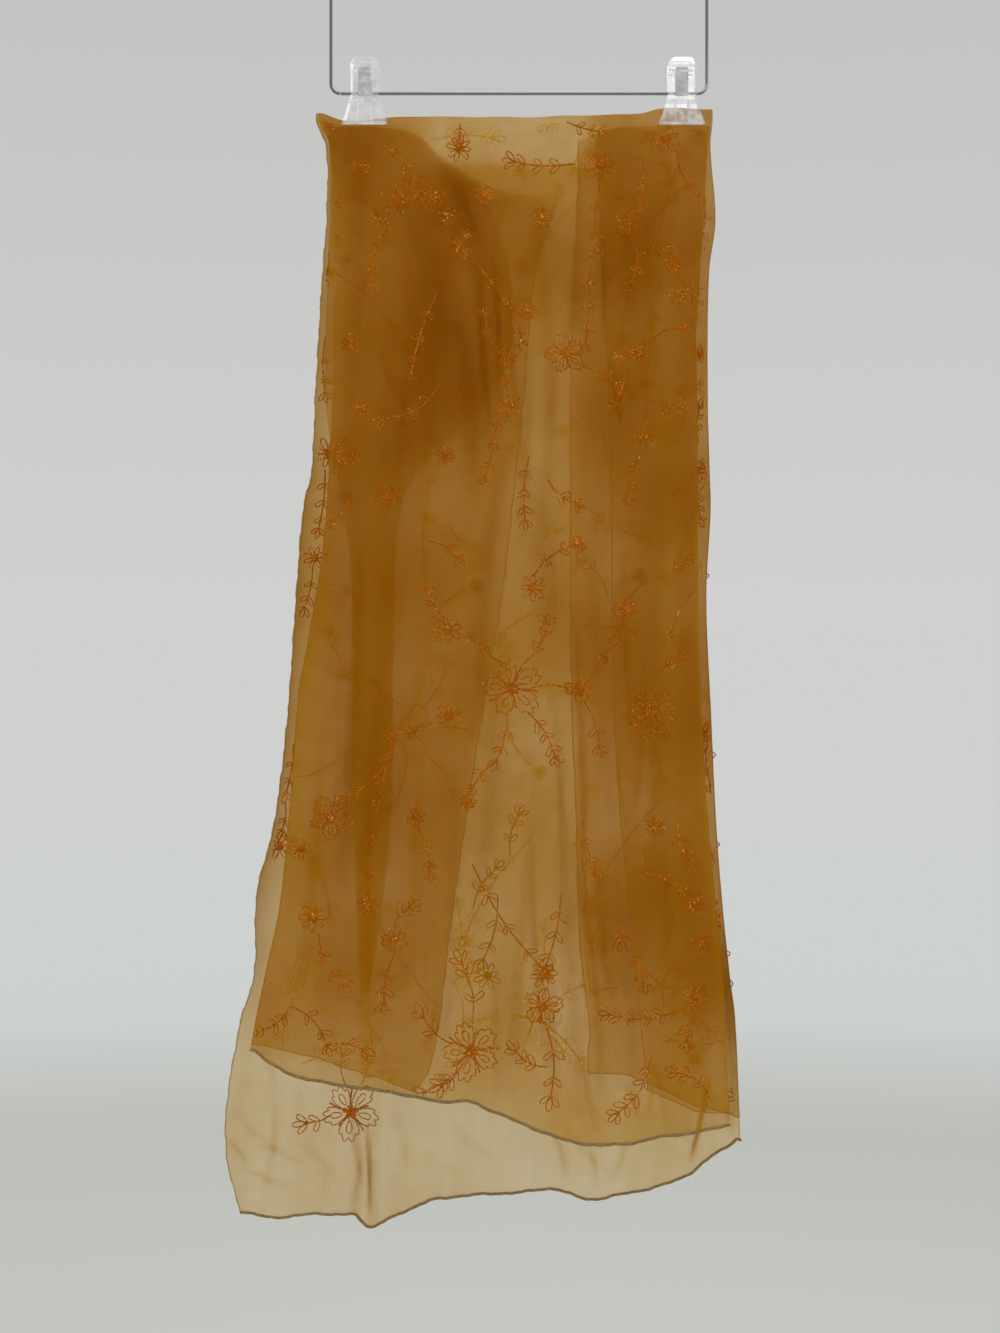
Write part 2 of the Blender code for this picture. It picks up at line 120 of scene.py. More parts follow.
bm = bmesh.new()
profile = [bm.verts.new((0.0, 0.0, FLOOR_Z))]
for step in range(COVE_STEPS + 1):
    angle = math.pi / 2.0 * step / COVE_STEPS
    reach = WALL_RADIUS - COVE_RADIUS + COVE_RADIUS * math.sin(angle)
    profile.append(bm.verts.new((reach, 0.0, FLOOR_Z + COVE_RADIUS * (1.0 - math.cos(angle)))))
profile.append(bm.verts.new((WALL_RADIUS, 0.0, WALL_TOP)))
edges = [bm.edges.new(pair) for pair in zip(profile, profile[1:])]
bmesh.ops.spin(
    bm, geom=profile + edges, axis=(0, 0, 1), cent=(0, 0, 0), dvec=(0, 0, 0),
    angle=2.0 * math.pi, steps=ROUND_STEPS, use_merge=True,
)
bmesh.ops.remove_doubles(bm, verts=bm.verts, dist=MM)
studio = new_object("studio_shell", mesh_from(bm, "studio_shell"))
# Paint tone by height, with painted shade on the floor and towards the top of the wall.
paint, nodes, links, output = new_material("matt_wall_paint_with_painted_shade")
wall = add_node(nodes, "BsdfDiffuse")
place = add_node(nodes, "TexCoord")
height = add_node(nodes, "SeparateXYZ")
fade = add_node(nodes, "MapRange", From_Min=FLOOR_Z, From_Max=PALEST_Z)
tone = add_node(nodes, "ValToRGB")
for i, (share, colour) in enumerate(WALL_TONES_WITH_SHADE):
    stop = tone.color_ramp.elements[i] if i < 2 else tone.color_ramp.elements.new(share)
    stop.position = share
    stop.color = (*colour, 1.0)
join(
    links, (place, "Object", height, "Vector"), (height, "Z", fade, "Value"),
    (fade, "Result", tone, "Fac"), (tone, "Color", wall, "Color"), (wall, "BSDF", output, "Surface"),
)
studio.data.materials.append(paint)
studio.visible_diffuse = False
studio.visible_shadow = False

world = bpy.data.worlds.new("soft_daylight")
world.use_nodes = True
world.node_tree.nodes["Background"].inputs["Color"].default_value = (0.71, 0.71, 0.705, 1.0)
bpy.context.scene.world = world

LAMP_AIM = Vector((0.0, 0.0, -0.7))
# name, place, size, watts
SOFTBOXES = [
    ("softbox_above", (-0.9, -1.6, 1.1), 1.4, 9.0),
    ("softbox_right", (2.2, -1.2, -0.3), 1.2, 5.0),
    ("softbox_behind", (0.6, 2.2, 0.5), 1.4, 6.0),
]
for name, spot, size, watts in SOFTBOXES:
    lamp = bpy.data.lights.new(name, "AREA")
    lamp.size = size
    lamp.energy = watts
    lamp_object = new_object(name, lamp)
    lamp_object.location = spot
    aim = LAMP_AIM - Vector(spot)
    lamp_object.rotation_euler = aim.to_track_quat("-Z", "Y").to_euler()
    lamp_object.visible_camera = False

# Hanger: one run of 3 mm steel wire, bent to a hook and a flat frame and chrome plated.
# The turned boss joins the hook's stem to the two shoulders.
HANGER_NODES = (
    "hanger_hook", "hanger_boss", "hanger_shoulder_left", "hanger_shoulder_right",
    "hanger_upright_left", "hanger_upright_right", "hanger_bar",
)


def object_noise(nodes, links, scale, detail=2.0):
    """Noise that stays with the piece it is on."""
    noise = add_node(nodes, "TexNoise", Scale=scale, Detail=detail)
    join(links, (add_node(nodes, "TexCoord"), "Object", noise, "Vector"))
    return noise


def metal(name, colour, roughness, grain):
    """Bright metal whose polish varies a little from place to place."""
    material, nodes, links, output = new_material(name)
    shader = add_node(nodes, "BsdfPrincipled", Metallic=1.0, Base_Color=(*colour, 1.0))
    polish = add_node(nodes, "MapRange", To_Min=roughness[0], To_Max=roughness[1])
    join(
        links, (object_noise(nodes, links, grain), "Fac", polish, "Value"),
        (polish, "Result", shader, "Roughness"), (shader, "BSDF", output, "Surface"),
    )
    return material


chrome = metal("polished_chrome", (0.24, 0.245, 0.255), roughness=(0.05, 0.20), grain=220.0)
for node in HANGER_NODES:
    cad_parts[node].material_slots[0].material = chrome

# Clips: two clear moulded halves that rock on the bar, pushed shut by a bent steel strip.
# Each jaw flares to a rimmed lip and is stiffened by two upright ribs.
BAR_Z = -272.0 * MM
JAW_CENTRES = {"left": -147.0 * MM, "right": 155.5 * MM}
CLIP_WALL = 2.0 * MM
# height from the bar, half width, distance of the inner face from the middle plane
CLIP_PROFILE = [
    (-30.6, 22.0, 4.05), (-27.5, 21.6, 4.05), (-20.0, 18.4, 4.05), (-12.0, 16.2, 4.05),
    (-7.0, 15.0, 4.05), (-4.0, 13.4, 4.05), (2.0, 13.4, 4.1), (10.0, 13.4, 5.0),
    (20.0, 13.4, 6.6), (27.0, 13.4, 7.8), (31.0, 11.2, 8.5), (33.0, 8.0, 8.8),
]
# across from the middle, lowest and highest point, width and how far it stands proud
CLIP_RIBS = [
    (-6.2, -29.0, -8.0, 1.3, 1.3), (6.2, -29.0, -8.0, 1.3, 1.3),
    (0.0, -30.4, -28.2, 42.0, 1.0), (0.0, -8.4, -6.8, 28.0, 0.9),
    (0.0, 24.0, 25.4, 20.0, 0.8), (0.0, 19.0, 20.4, 20.0, 0.8),
]
CLIP_COLUMNS = 10
EDGE_ROUNDING = 0.35 * MM
FRONT = -1
BACK = 1


def grid_mesh(name, points, with_uv=False):
    """A mesh of a grid of points, laid over a flat grid of the same rows and columns."""
    rows, columns = points.shape[0] - 1, points.shape[1] - 1
    bm = bmesh.new()
    if with_uv:
        bm.loops.layers.uv.new("along_cloth")
    bmesh.ops.create_grid(bm, x_segments=columns, y_segments=rows, size=0.5, calc_uvs=with_uv)
    mesh = mesh_from(bm, name)
    flat = np.empty(len(mesh.vertices) * 3, np.float32)
    mesh.vertices.foreach_get("co", flat)
    flat = flat.reshape(-1, 3)
    column = np.rint((flat[:, 0] + 0.5) * columns).astype(int)
    row = np.rint((0.5 - flat[:, 1]) * rows).astype(int)
    mesh.vertices.foreach_set("co", points[row, column].astype(np.float32).ravel())
    mesh.update()
    return mesh, row, column


def clip_half(name, centre, half):
    """One moulded half: a plate that narrows from lip to tab, with its ribs."""
    shares = np.linspace(-1.0, 1.0, CLIP_COLUMNS + 1)
    points = np.array([
        [
            (centre + wide * MM * share, half * (out * MM + CLIP_WALL / 2.0), BAR_Z + up * MM)
            for share in shares
        ]
        for up, wide, out in reversed(CLIP_PROFILE)
    ])
    mesh, _, _ = grid_mesh(name, points)
    bm = bmesh.new()
    bm.from_mesh(mesh)
    bmesh.ops.recalc_face_normals(bm, faces=bm.faces)
    wanted = np.mean([vert.co.y for vert in bm.verts])
    bmesh.ops.solidify(bm, geom=bm.faces[:] + bm.edges[:] + bm.verts[:], thickness=CLIP_WALL)
    shift = wanted - np.mean([vert.co.y for vert in bm.verts])
    bmesh.ops.translate(bm, verts=bm.verts, vec=(0.0, shift, 0.0))
    heights = np.array([row[0] for row in CLIP_PROFILE]) * MM
    outs = np.array([row[2] for row in CLIP_PROFILE]) * MM
    for across, low, high, wide, proud in CLIP_RIBS:
        middle = (low + high) / 2.0 * MM
        face = np.interp(middle, heights, outs) + CLIP_WALL
        rib = bmesh.ops.create_cube(bm, size=1.0)["verts"]
        bmesh.ops.scale(bm, verts=rib, vec=(wide * MM, 2.0 * proud * MM, (high - low) * MM))
        spot = (centre + across * MM, half * face, BAR_Z + middle)
        bmesh.ops.translate(bm, verts=rib, vec=spot)
    bmesh.ops.recalc_face_normals(bm, faces=bm.faces)
    made = new_object(name, mesh_from(bm, name))
    bevel = made.modifiers.new("moulded_edges", "BEVEL")
    bevel.width = EDGE_ROUNDING
    bevel.segments = 2
    bevel.limit_method = "ANGLE"
    return made


plastic, nodes, links, output = new_material("clear_moulded_plastic")
clear = add_node(
    nodes, "BsdfPrincipled", Base_Color=(0.90, 0.905, 0.90, 1.0), Transmission_Weight=0.92, IOR=1.46,
)
milky = add_node(nodes, "BsdfDiffuse", Color=(0.86, 0.87, 0.87, 1.0))
wear = object_noise(nodes, links, 140.0)
scuff = add_node(nodes, "MapRange", From_Min=0.35, From_Max=0.75, To_Min=0.04, To_Max=0.12)
haze = add_node(nodes, "MapRange", From_Min=0.40, From_Max=0.70, To_Min=0.03, To_Max=0.34)
hazy = add_node(nodes, "MixShader")
join(
    links, (wear, "Fac", scuff, "Value"), (scuff, "Result", clear, "Roughness"),
    (wear, "Fac", haze, "Value"), (haze, "Result", hazy, "Fac"), (clear, "BSDF", hazy, 1),
    (milky, "BSDF", hazy, 2), (hazy, "Shader", output, "Surface"),
)

spring_steel = metal("bright_spring_steel", (0.62, 0.63, 0.65), roughness=(0.14, 0.32), grain=400.0)
for side, centre in JAW_CENTRES.items():
    for face, half in (("front", FRONT), ("back", BACK)):
        node = side + "_clip_" + face
        moulded = clip_half(side + "_clip_" + face + "_moulding", centre, half)
        moulded.data.materials.append(plastic)
        moulded.visible_shadow = False
        moulded.visible_diffuse = False
        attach(moulded, "root")
        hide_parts(node)
    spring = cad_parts[side + "_clip_spring"]
    spring.material_slots[0].material = spring_steel

# Cloth: one oblong of crisp organza, both long sides turned in, folded over at half its length.
# It is cut from woven cloth about 0.1 mm thick. Tables are in millimetres: drop is the height
# below the clip bar and across is X.
CLOTH_THICKNESS = 0.3 * MM
CROWN_RADIUS = 3.2 * MM
GRIP_DROP = 34.0 * MM
GRIP_FADE = 60.0
FULL_DROP = 1000.0 * MM
TURN_SLACK = 0.4
ARC_STEPS = 5
CROWN_STEPS = 9
DROP, LEFT, RIGHT = 0, 1, 2

# drop, distance of each half from the middle plane, of its turned-in sides and of the tuck
SPREAD = [
    (0, 3.2, 2.1, 1.35), (34, 3.2, 2.1, 1.35), (120, 5.0, 2.4, 2.4), (300, 8.5, 3.2, 3.2),
    (600, 12.5, 4.2, 4.2), (900, 16.0, 5.0, 5.0), (1100, 17.5, 5.0, 5.0),
]
# across, drop
CROWN = [
    (-196, 19.0), (-188, 18.5), (-177, 23.0), (-165, 26.5), (-150, 26.0), (-125, 23.5),
    (-94, 21.5), (-56, 22.4), (0, 22.4), (40, 21.5), (77, 20.5), (116, 18.6), (134, 14.8),
    (188, 14.8),
]
# drop, left edge, right edge
BACK_EDGES = [
    (18, -193, 185), (26, -194, 185), (50, -184, 183), (120, -184, 188), (170, -188, 182),
    (285, -195, 181), (360, -199, 183), (395, -207, 184), (480, -214, 180), (600, -223, 185),
    (700, -236, 190), (765, -252, 195), (845, -255, 203), (885, -267, 208), (970, -281, 212),
    (1020, -281, 214), (1075, -269, 214),
]
FRONT_EDGES = [
    (15, -190, 184), (26, -191, 183), (50, -180, 180), (120, -178, 176), (230, -177, 169),
    (300, -178, 170), (430, -186, 170), (520, -200, 171), (570, -209, 172), (675, -217, 178),
    (775, -227, 187), (835, -240, 193), (915, -255, 197), (990, -258, 200),
]
# across, drop
BACK_HEM = [
    (-281, 1072), (-268, 1075), (-245, 1079), (-161, 1075), (-151, 1085), (-143, 1089),
    (-131, 1082), (-101, 1070), (-79, 1061), (-37, 1058), (34, 1052), (75, 1062), (114, 1054),
    (147, 1045), (166, 1036), (182, 1022), (206, 1007), (215, 996),
]
FRONT_HEM = [
    (-256, 907), (-222, 929), (-207, 936), (-147, 946), (-79, 958), (-47, 957), (-30, 966),
    (8, 981), (46, 994), (95, 998), (142, 990), (200, 982),
]
LEFT_SAG = [
    (-192, 31), (-124, 33), (-95, 40), (-77, 58), (-62, 68), (-45, 81), (-12, 94), (42, 100),
]
RIGHT_SAG = [(56, 46), (80, 36), (100, 32), (190, 31)]
# drop, free edge
FRONT_LEFT_FREE = [
    (98, 38), (140, 25), (190, 13), (285, 5), (410, -8), (484, -17), (624, -40), (708, -53),
    (794, -65), (864, -73), (905, -79), (930, -86), (945, -94), (954, -104),
]
FRONT_LEFT_HEM = [(-255, 904), (-222, 911), (-177, 923), (-130, 939), (-101, 951)]
FRONT_RIGHT_FREE = [
    (44, 57), (100, 56), (230, 50), (580, 50), (677, 54), (813, 58), (893, 67), (925, 65),
    (936, 68),
]
FRONT_RIGHT_HEM = [(65, 932), (100, 934), (125, 943), (160, 960), (200, 972)]
BACK_RIGHT_FREE = [(44, 74), (150, 80), (330, 88), (600, 92), (800, 108), (900, 118), (946, 124)]
BACK_RIGHT_HEM = [(120, 952), (142, 962), (170, 974), (199, 977), (214, 982)]
BACK_LEFT_TUCK = [
    (30, -182, -50), (80, -181, -40), (140, -182, -16), (200, -184, -6), (260, -186, -12),
    (305, -184, -42), (345, -178, -84), (385, -170, -110), (450, -161, -118), (580, -160, -121),
    (680, -159, -122), (765, -156, -130), (860, -151, -144),
]
BACK_LEFT_SAG = [(-192, 31), (-124, 33), (-95, 42), (-77, 60), (-45, 84), (0, 100)]
BACK_LEFT_END = [(-200, 862), (0, 862)]

# The largest folds: across at the top and at the hem, widths there, height half way and at the hem
FRONT_FOLDS = [
    (-178, -232, 16, 24, 5.5, 14.5), (-140, -168, 18, 26, 9.0, 11.5),
    (-128, -52, 16, 24, 8.5, 17.0), (-60, 20, 20, 26, 5.5, 11.5), (34, 66, 20, 24, 8.5, 18.0),
    (92, 112, 18, 24, 7.0, 11.5), (138, 160, 18, 22, 9.0, 15.5),
]
BACK_FOLDS = [
    (-182, -252, 16, 22, 5.5, 15.5), (-138, -200, 18, 24, 8.5, 11.5),
    (-104, -147, 12, 12, 4.0, 14.5), (-60, -96, 20, 26, 7.0, 13.0),
    (-4, -36, 22, 26, 8.5, 15.5), (48, 30, 20, 24, 7.0, 10.5), (96, 94, 18, 26, 9.0, 17.0),
    (148, 152, 16, 22, 7.0, 11.5), (172, 196, 14, 16, 4.0, 10.5),
]

# Creases, each a soft ridge or trough: across and drop of both ends, half width, height outwards,
# bend sideways, and how much closer the threads lie along it; this also paints shade along it, and painted
# light where it is negative
FRONT_CREASES = [
    (-170, 40, -174, 330, 13, 0.6, -3, -0.55),
    (-104, 60, -20, 360, 22, 0.8, -10, 0.14),
    (-64, 60, -34, 210, 11, -0.6, 3, 0.26),
    (-38, 150, -26, 330, 5, 0.6, -3, 0.55),
    (36, 560, 62, 1000, 9, 0.8, -4, 0.30),
    (-150, 380, -170, 760, 8, 0.8, 5, 0.30),
    (150, 300, 146, 640, 9, 0.8, -4, -0.30),
    (96, 760, 108, 980, 9, 0.7, 5, 0.26),
    (-120, 40, -30, 290, 14, 3.0, -14, 0.14),
    (-84, 52, -22, 180, 7, -1.8, 6, 0.24),
    (-28, 140, -20, 300, 3.2, 1.4, 4, 0.63),
    (-8, 190, 2, 330, 2.6, -1.0, -3, 0.36),
    (-62, 190, -46, 420, 9, 2.0, 8, 0.24),
    (78, 128, 80, 240, 4.5, 1.6, 2, 0.50),
    (84, 250, 96, 330, 2.8, 1.2, 3, 0.51),
    (104, 96, 118, 260, 6, -1.4, -5, 0.18),
    (-150, 60, -166, 330, 6, 1.8, 7, 0.21),
    (-100, 230, -112, 430, 5, -1.3, -6, 0.21),
    (30, 210, 12, 470, 7, 1.6, 8, 0.18),
    (-14, 330, -34, 640, 8, 2.2, -9, 0.30),
    (52, 480, 60, 800, 5, 1.6, 4, 0.45),
    (100, 430, 112, 640, 4, -1.2, -5, 0.33),
    (118, 520, 108, 700, 3.2, 1.1, 4, 0.39),
    (28, 560, 40, 760, 4, -1.1, 5, 0.30),
    (12, 700, 26, 930, 4, 1.5, -4, 0.51),
    (-4, 780, -14, 960, 5, -1.5, 4, 0.21),
    (44, 700, 78, 960, 4.5, -1.6, 9, 0.33),
    (72, 690, 96, 900, 7, 1.7, -6, 0.34),
    (-60, 640, -88, 930, 6, 1.6, 7, 0.21),
    (-128, 560, -150, 860, 7, -1.9, -8, 0.16),
    (-186, 600, -214, 880, 6, 1.7, 5, 0.18),
    (134, 620, 152, 930, 5, 1.4, -5, 0.24),
    (-30, 900, 30, 950, 4, 1.0, 5, 0.15),
    (60, 905, 74, 985, 3.2, 1.1, -3, 0.42),
    (120, 900, 140, 985, 3.6, -1.0, 3, 0.24),
    # From here on, broad soft patches with hardly any lift: painted shade, and painted light where the
    # last number is negative.
    (14, 350, 34, 530, 24, 0.5, 0, 0.42),
    (28, 215, 26, 335, 15, 0.5, 0, 0.26),
    (42, 96, 54, 250, 16, 0.6, 0, 0.26),
    (-20, 800, 10, 925, 20, 0.6, 0, 0.22),
    (12, 235, 0, 440, 8, 0.5, 0, 0.42),
    (-16, 600, -44, 830, 15, 0.5, 0, 0.42),
    (-60, 830, -74, 905, 9, 0.5, 0, 0.38),
    (28, 800, 34, 990, 9, 0.5, 0, 0.40),
    (-24, 800, -20, 960, 5, 0.5, 0, 0.28),
    (30, 105, 26, 215, 20, 0.5, 0, 0.30),
    (104, 400, 134, 930, 28, 0.6, 0, -0.25),
    (150, 90, 140, 330, 24, 0.5, 0, -0.22),
    (66, 690, 72, 850, 12, 0.5, 0, -0.20),
]
BACK_CREASES = [
    (-148, 600, -146, 1000, 3.4, 2.2, 3, 0.60),
    (-147, 985, -144, 1080, 3.0, 1.6, 1, 1.30),
    (-152, 1010, -160, 1064, 3.0, -0.8, 2, 0.49),
    (-282, 1000, -262, 1030, 3.0, 0.7, 2, 0.45),
    (-270, 1030, -218, 1048, 3.4, -0.8, -3, 0.41),
    (-166, 900, -146, 1076, 3.0, -1.6, -5, 0.39),
    (-238, 960, -250, 1060, 5, 1.8, 6, 0.24),
    (-262, 900, -232, 960, 4, -1.4, 5, 0.27),
    (-272, 975, -232, 1015, 4, 1.2, -5, 0.24),
    (-258, 1010, -206, 1030, 4, -1.2, 5, 0.27),
    (-230, 1000, -176, 1042, 5, 1.3, 6, 0.18),
    (-214, 948, -188, 1040, 6, 1.4, -5, 0.15),
    (-128, 960, -108, 1052, 6, -1.3, 6, 0.15),
    (-70, 975, -10, 1030, 5, 1.2, -8, 0.18),
    (30, 990, 46, 1044, 3.4, 1.5, 3, 0.45),
    (44, 985, 92, 1040, 4, -1.2, -5, 0.24),
    (66, 1000, 76, 1052, 3.2, 1.1, 2, 0.33),
    (104, 996, 88, 1050, 4.5, -1.1, 4, 0.30),
    (182, 940, 165, 1026, 3.0, 1.4, 2, 1.48),
    (98, 940, 118, 1000, 3.4, 0.9, 4, 0.49),
    (136, 930, 126, 985, 3.4, -0.8, -3, 0.45),
    (196, 965, 206, 1000, 3.4, 0.7, 3, 0.45),
    (150, 990, 172, 1020, 4, 1.0, 3, 0.18),
    (-190, 560, -214, 900, 7, 1.8, 8, 0.18),
    (-60, 120, -88, 430, 8, 2.2, -10, 0.30),
    (10, 90, 30, 380, 7, -1.7, 8, 0.24),
    (60, 60, 24, 330, 6, 1.9, 9, 0.27),
    (120, 70, 150, 360, 7, 1.8, -8, 0.21),
    (-120, 100, -96, 330, 5, -1.4, 6, 0.24),
    (-20, 420, -44, 760, 8, 2.0, 10, 0.27),
    (70, 400, 92, 720, 7, -1.8, -7, 0.24),
    (130, 480, 118, 860, 6, 1.7, 7, 0.27),
    (20, 640, 2, 980, 6, 1.7, -8, 0.27),
    (-100, 480, -110, 860, 6, -1.5, 7, 0.21),
    (160, 640, 176, 930, 5, 1.5, -4, 0.21),
    # A broad soft patch with hardly any lift: painted shade.
    (198, 790, 208, 1000, 10, 0.5, 0, 0.70),
]


def curve_through(table, key, column):
    """A smooth curve through one column of a table, as a function of its key column."""
    keys = np.array([row[key] for row in table], float) * MM
    values = np.array([row[column] for row in table], float) * MM
    slopes = np.empty_like(values)
    slopes[1:-1] = (values[2:] - values[:-2]) / (keys[2:] - keys[:-2])
    slopes[0] = (values[1] - values[0]) / (keys[1] - keys[0])
    slopes[-1] = (values[-1] - values[-2]) / (keys[-1] - keys[-2])

    def read(at):
        at = np.clip(at, keys[0], keys[-1])
        i = np.clip(np.searchsorted(keys, at, side="right") - 1, 0, len(keys) - 2)
        span = keys[i + 1] - keys[i]
        t = (at - keys[i]) / span
        ease = t * t * (3.0 - 2.0 * t)
        start = slopes[i] * span * t * (1.0 - t) ** 2
        end = slopes[i + 1] * span * t * t * (1.0 - t)
        return values[i] + (values[i + 1] - values[i]) * ease + start - end

    return read


layer_distance = curve_through(SPREAD, DROP, 1)
turn_distance = curve_through(SPREAD, DROP, 2)
tuck_distance = curve_through(SPREAD, DROP, 3)


def fold_height(folds, x, drop):
    """How far the largest folds lift the cloth outwards."""
    share = np.maximum(drop - GRIP_DROP, 0.0) / (FULL_DROP - GRIP_DROP)
    lift = np.zeros(np.broadcast(x, drop).shape)
    for top_x, hem_x, top_width, hem_width, mid_height, hem_height in folds:
        centre = MM * (top_x + (hem_x - top_x) * share)
        width = MM * (top_width + (hem_width - top_width) * share)
        upper = mid_height * np.sin(math.pi * np.minimum(share, 0.5))
        lower = mid_height + (hem_height - mid_height) * np.maximum(2.0 * share - 1.0, 0.0)
        height = MM * np.where(share < 0.5, upper, lower)
        lift = lift + height * np.exp(-(((x - centre) / width) ** 2))
    return lift


# how slowly a crease runs out at its ends, and how wide its band of closer threads and painted shade is
# beside its height
CREASE_TAPER = 0.8
CREASE_SHADE_WIDTH = 0.75


def crease_height(creases, x, drop):
    """What the creases add to the lift, and how far they draw the threads together and paint shade along
    them.
    """
    lift = np.zeros(np.broadcast(x, drop).shape)
    gather_and_shade = np.zeros_like(lift)
    for x1, drop1, x2, drop2, width, height, bend, draw in creases:
        run, fall = (x2 - x1) * MM, (drop2 - drop1) * MM
        length = math.hypot(run, fall)
        t = ((x - x1 * MM) * run + (drop - drop1 * MM) * fall) / length**2
        inside = np.clip(t, 0.0, 1.0)
        off = ((x - x1 * MM) * fall - (drop - drop1 * MM) * run) / length
        off = off - bend * MM * np.sin(math.pi * inside)
        ends = np.sin(math.pi * inside) ** CREASE_TAPER
        lift = lift + height * MM * ends * np.exp(-((off / (width * MM)) ** 2))
        gather_and_shade = gather_and_shade + draw * ends * np.exp(-((off / (CREASE_SHADE_WIDTH * width * MM)) ** 2))
    return lift, gather_and_shade


CRINKLE_WAVES = 14
CRINKLE_HEIGHT = 0.16 * MM
CRINKLE_LENGTHS = (0.016, 0.055)
CRINKLE_GATHER = 0.010
CLOUD_GATHER = 0.035
CLOUD_STRETCH = (0.22, 0.16)
CLOUD_SHIFT = 0.05
crinkle_draw = random.Random(7)
CRINKLES = [
    (
        crinkle_draw.uniform(0.0, math.pi), crinkle_draw.uniform(*CRINKLE_LENGTHS),
        crinkle_draw.uniform(0.0, 2.0 * math.pi),
    )
    for _ in range(CRINKLE_WAVES)
]


def crinkle(x, drop):
    """The small uneven crinkle that crisp cloth keeps."""
    total = np.zeros(np.broadcast(x, drop).shape)
    for angle, wavelength, phase in CRINKLES:
        along = x * math.cos(angle) + drop * math.sin(angle)
        total = total + np.sin(2.0 * math.pi * along / wavelength + phase)
    return total


def rise(at, start, run):
    """From 0 at the start to 1 a run further on. Start and run are in millimetres."""
    return np.clip((at / MM - start) / run, 0.0, 1.0)


def swell(at, middle, reach):
    """1 at the middle, falling off to both sides. Middle and reach are in millimetres."""
    return np.exp(-(((at / MM - middle) / reach) ** 2))


# how much closer or wider the small gathers lie, and how much painted shade the back half takes high up,
# in the middle and along its sides, with the place of each change for rise and swell
FREE_THINNING, FREE_REACH = 0.65, 13.0 * MM
TOP_THINNING, TOP_REACH = 0.5, 12.0 * MM
LOWER_LOSS, LOWER_SIDES = 0.75, (500.0, 300.0)
RIGHT_TURN_START = (110.0, 120.0)
TUCK_GATHER, TUCK_START = 0.5, (380.0, 60.0)
BACK_PAINTED_SHADOW, HEM_OPENING = 0.75, (825.0, 105.0)
NECK_X, NECK_SIDES, NECK_END = -8.0 * MM, (68.0, 18.0), (62.0, 9.0)
UPPER_PAINTED_SHADOW, UPPER_PLACE, UPPER_RIGHT = 0.45, (175.0, 105.0), (90.0, 70.0)
MIDDLE_PAINTED_SHADOW, MIDDLE_PLACE = 0.22, (470.0, 130.0)
LEFT_PAINTED_SHADOW, LEFT_REACH = 0.55, 16.0 * MM
LEFT_START, LEFT_END = (240.0, 120.0), (700.0, 200.0)
SIDE_PAINTED_SHADE, SIDE_REACH, SIDE_END = 0.85, 20.0 * MM, (780.0, 140.0)
SIDE_ROUNDS, FOLD_ROUNDS = 6, 3
CROWN_START = 0.01


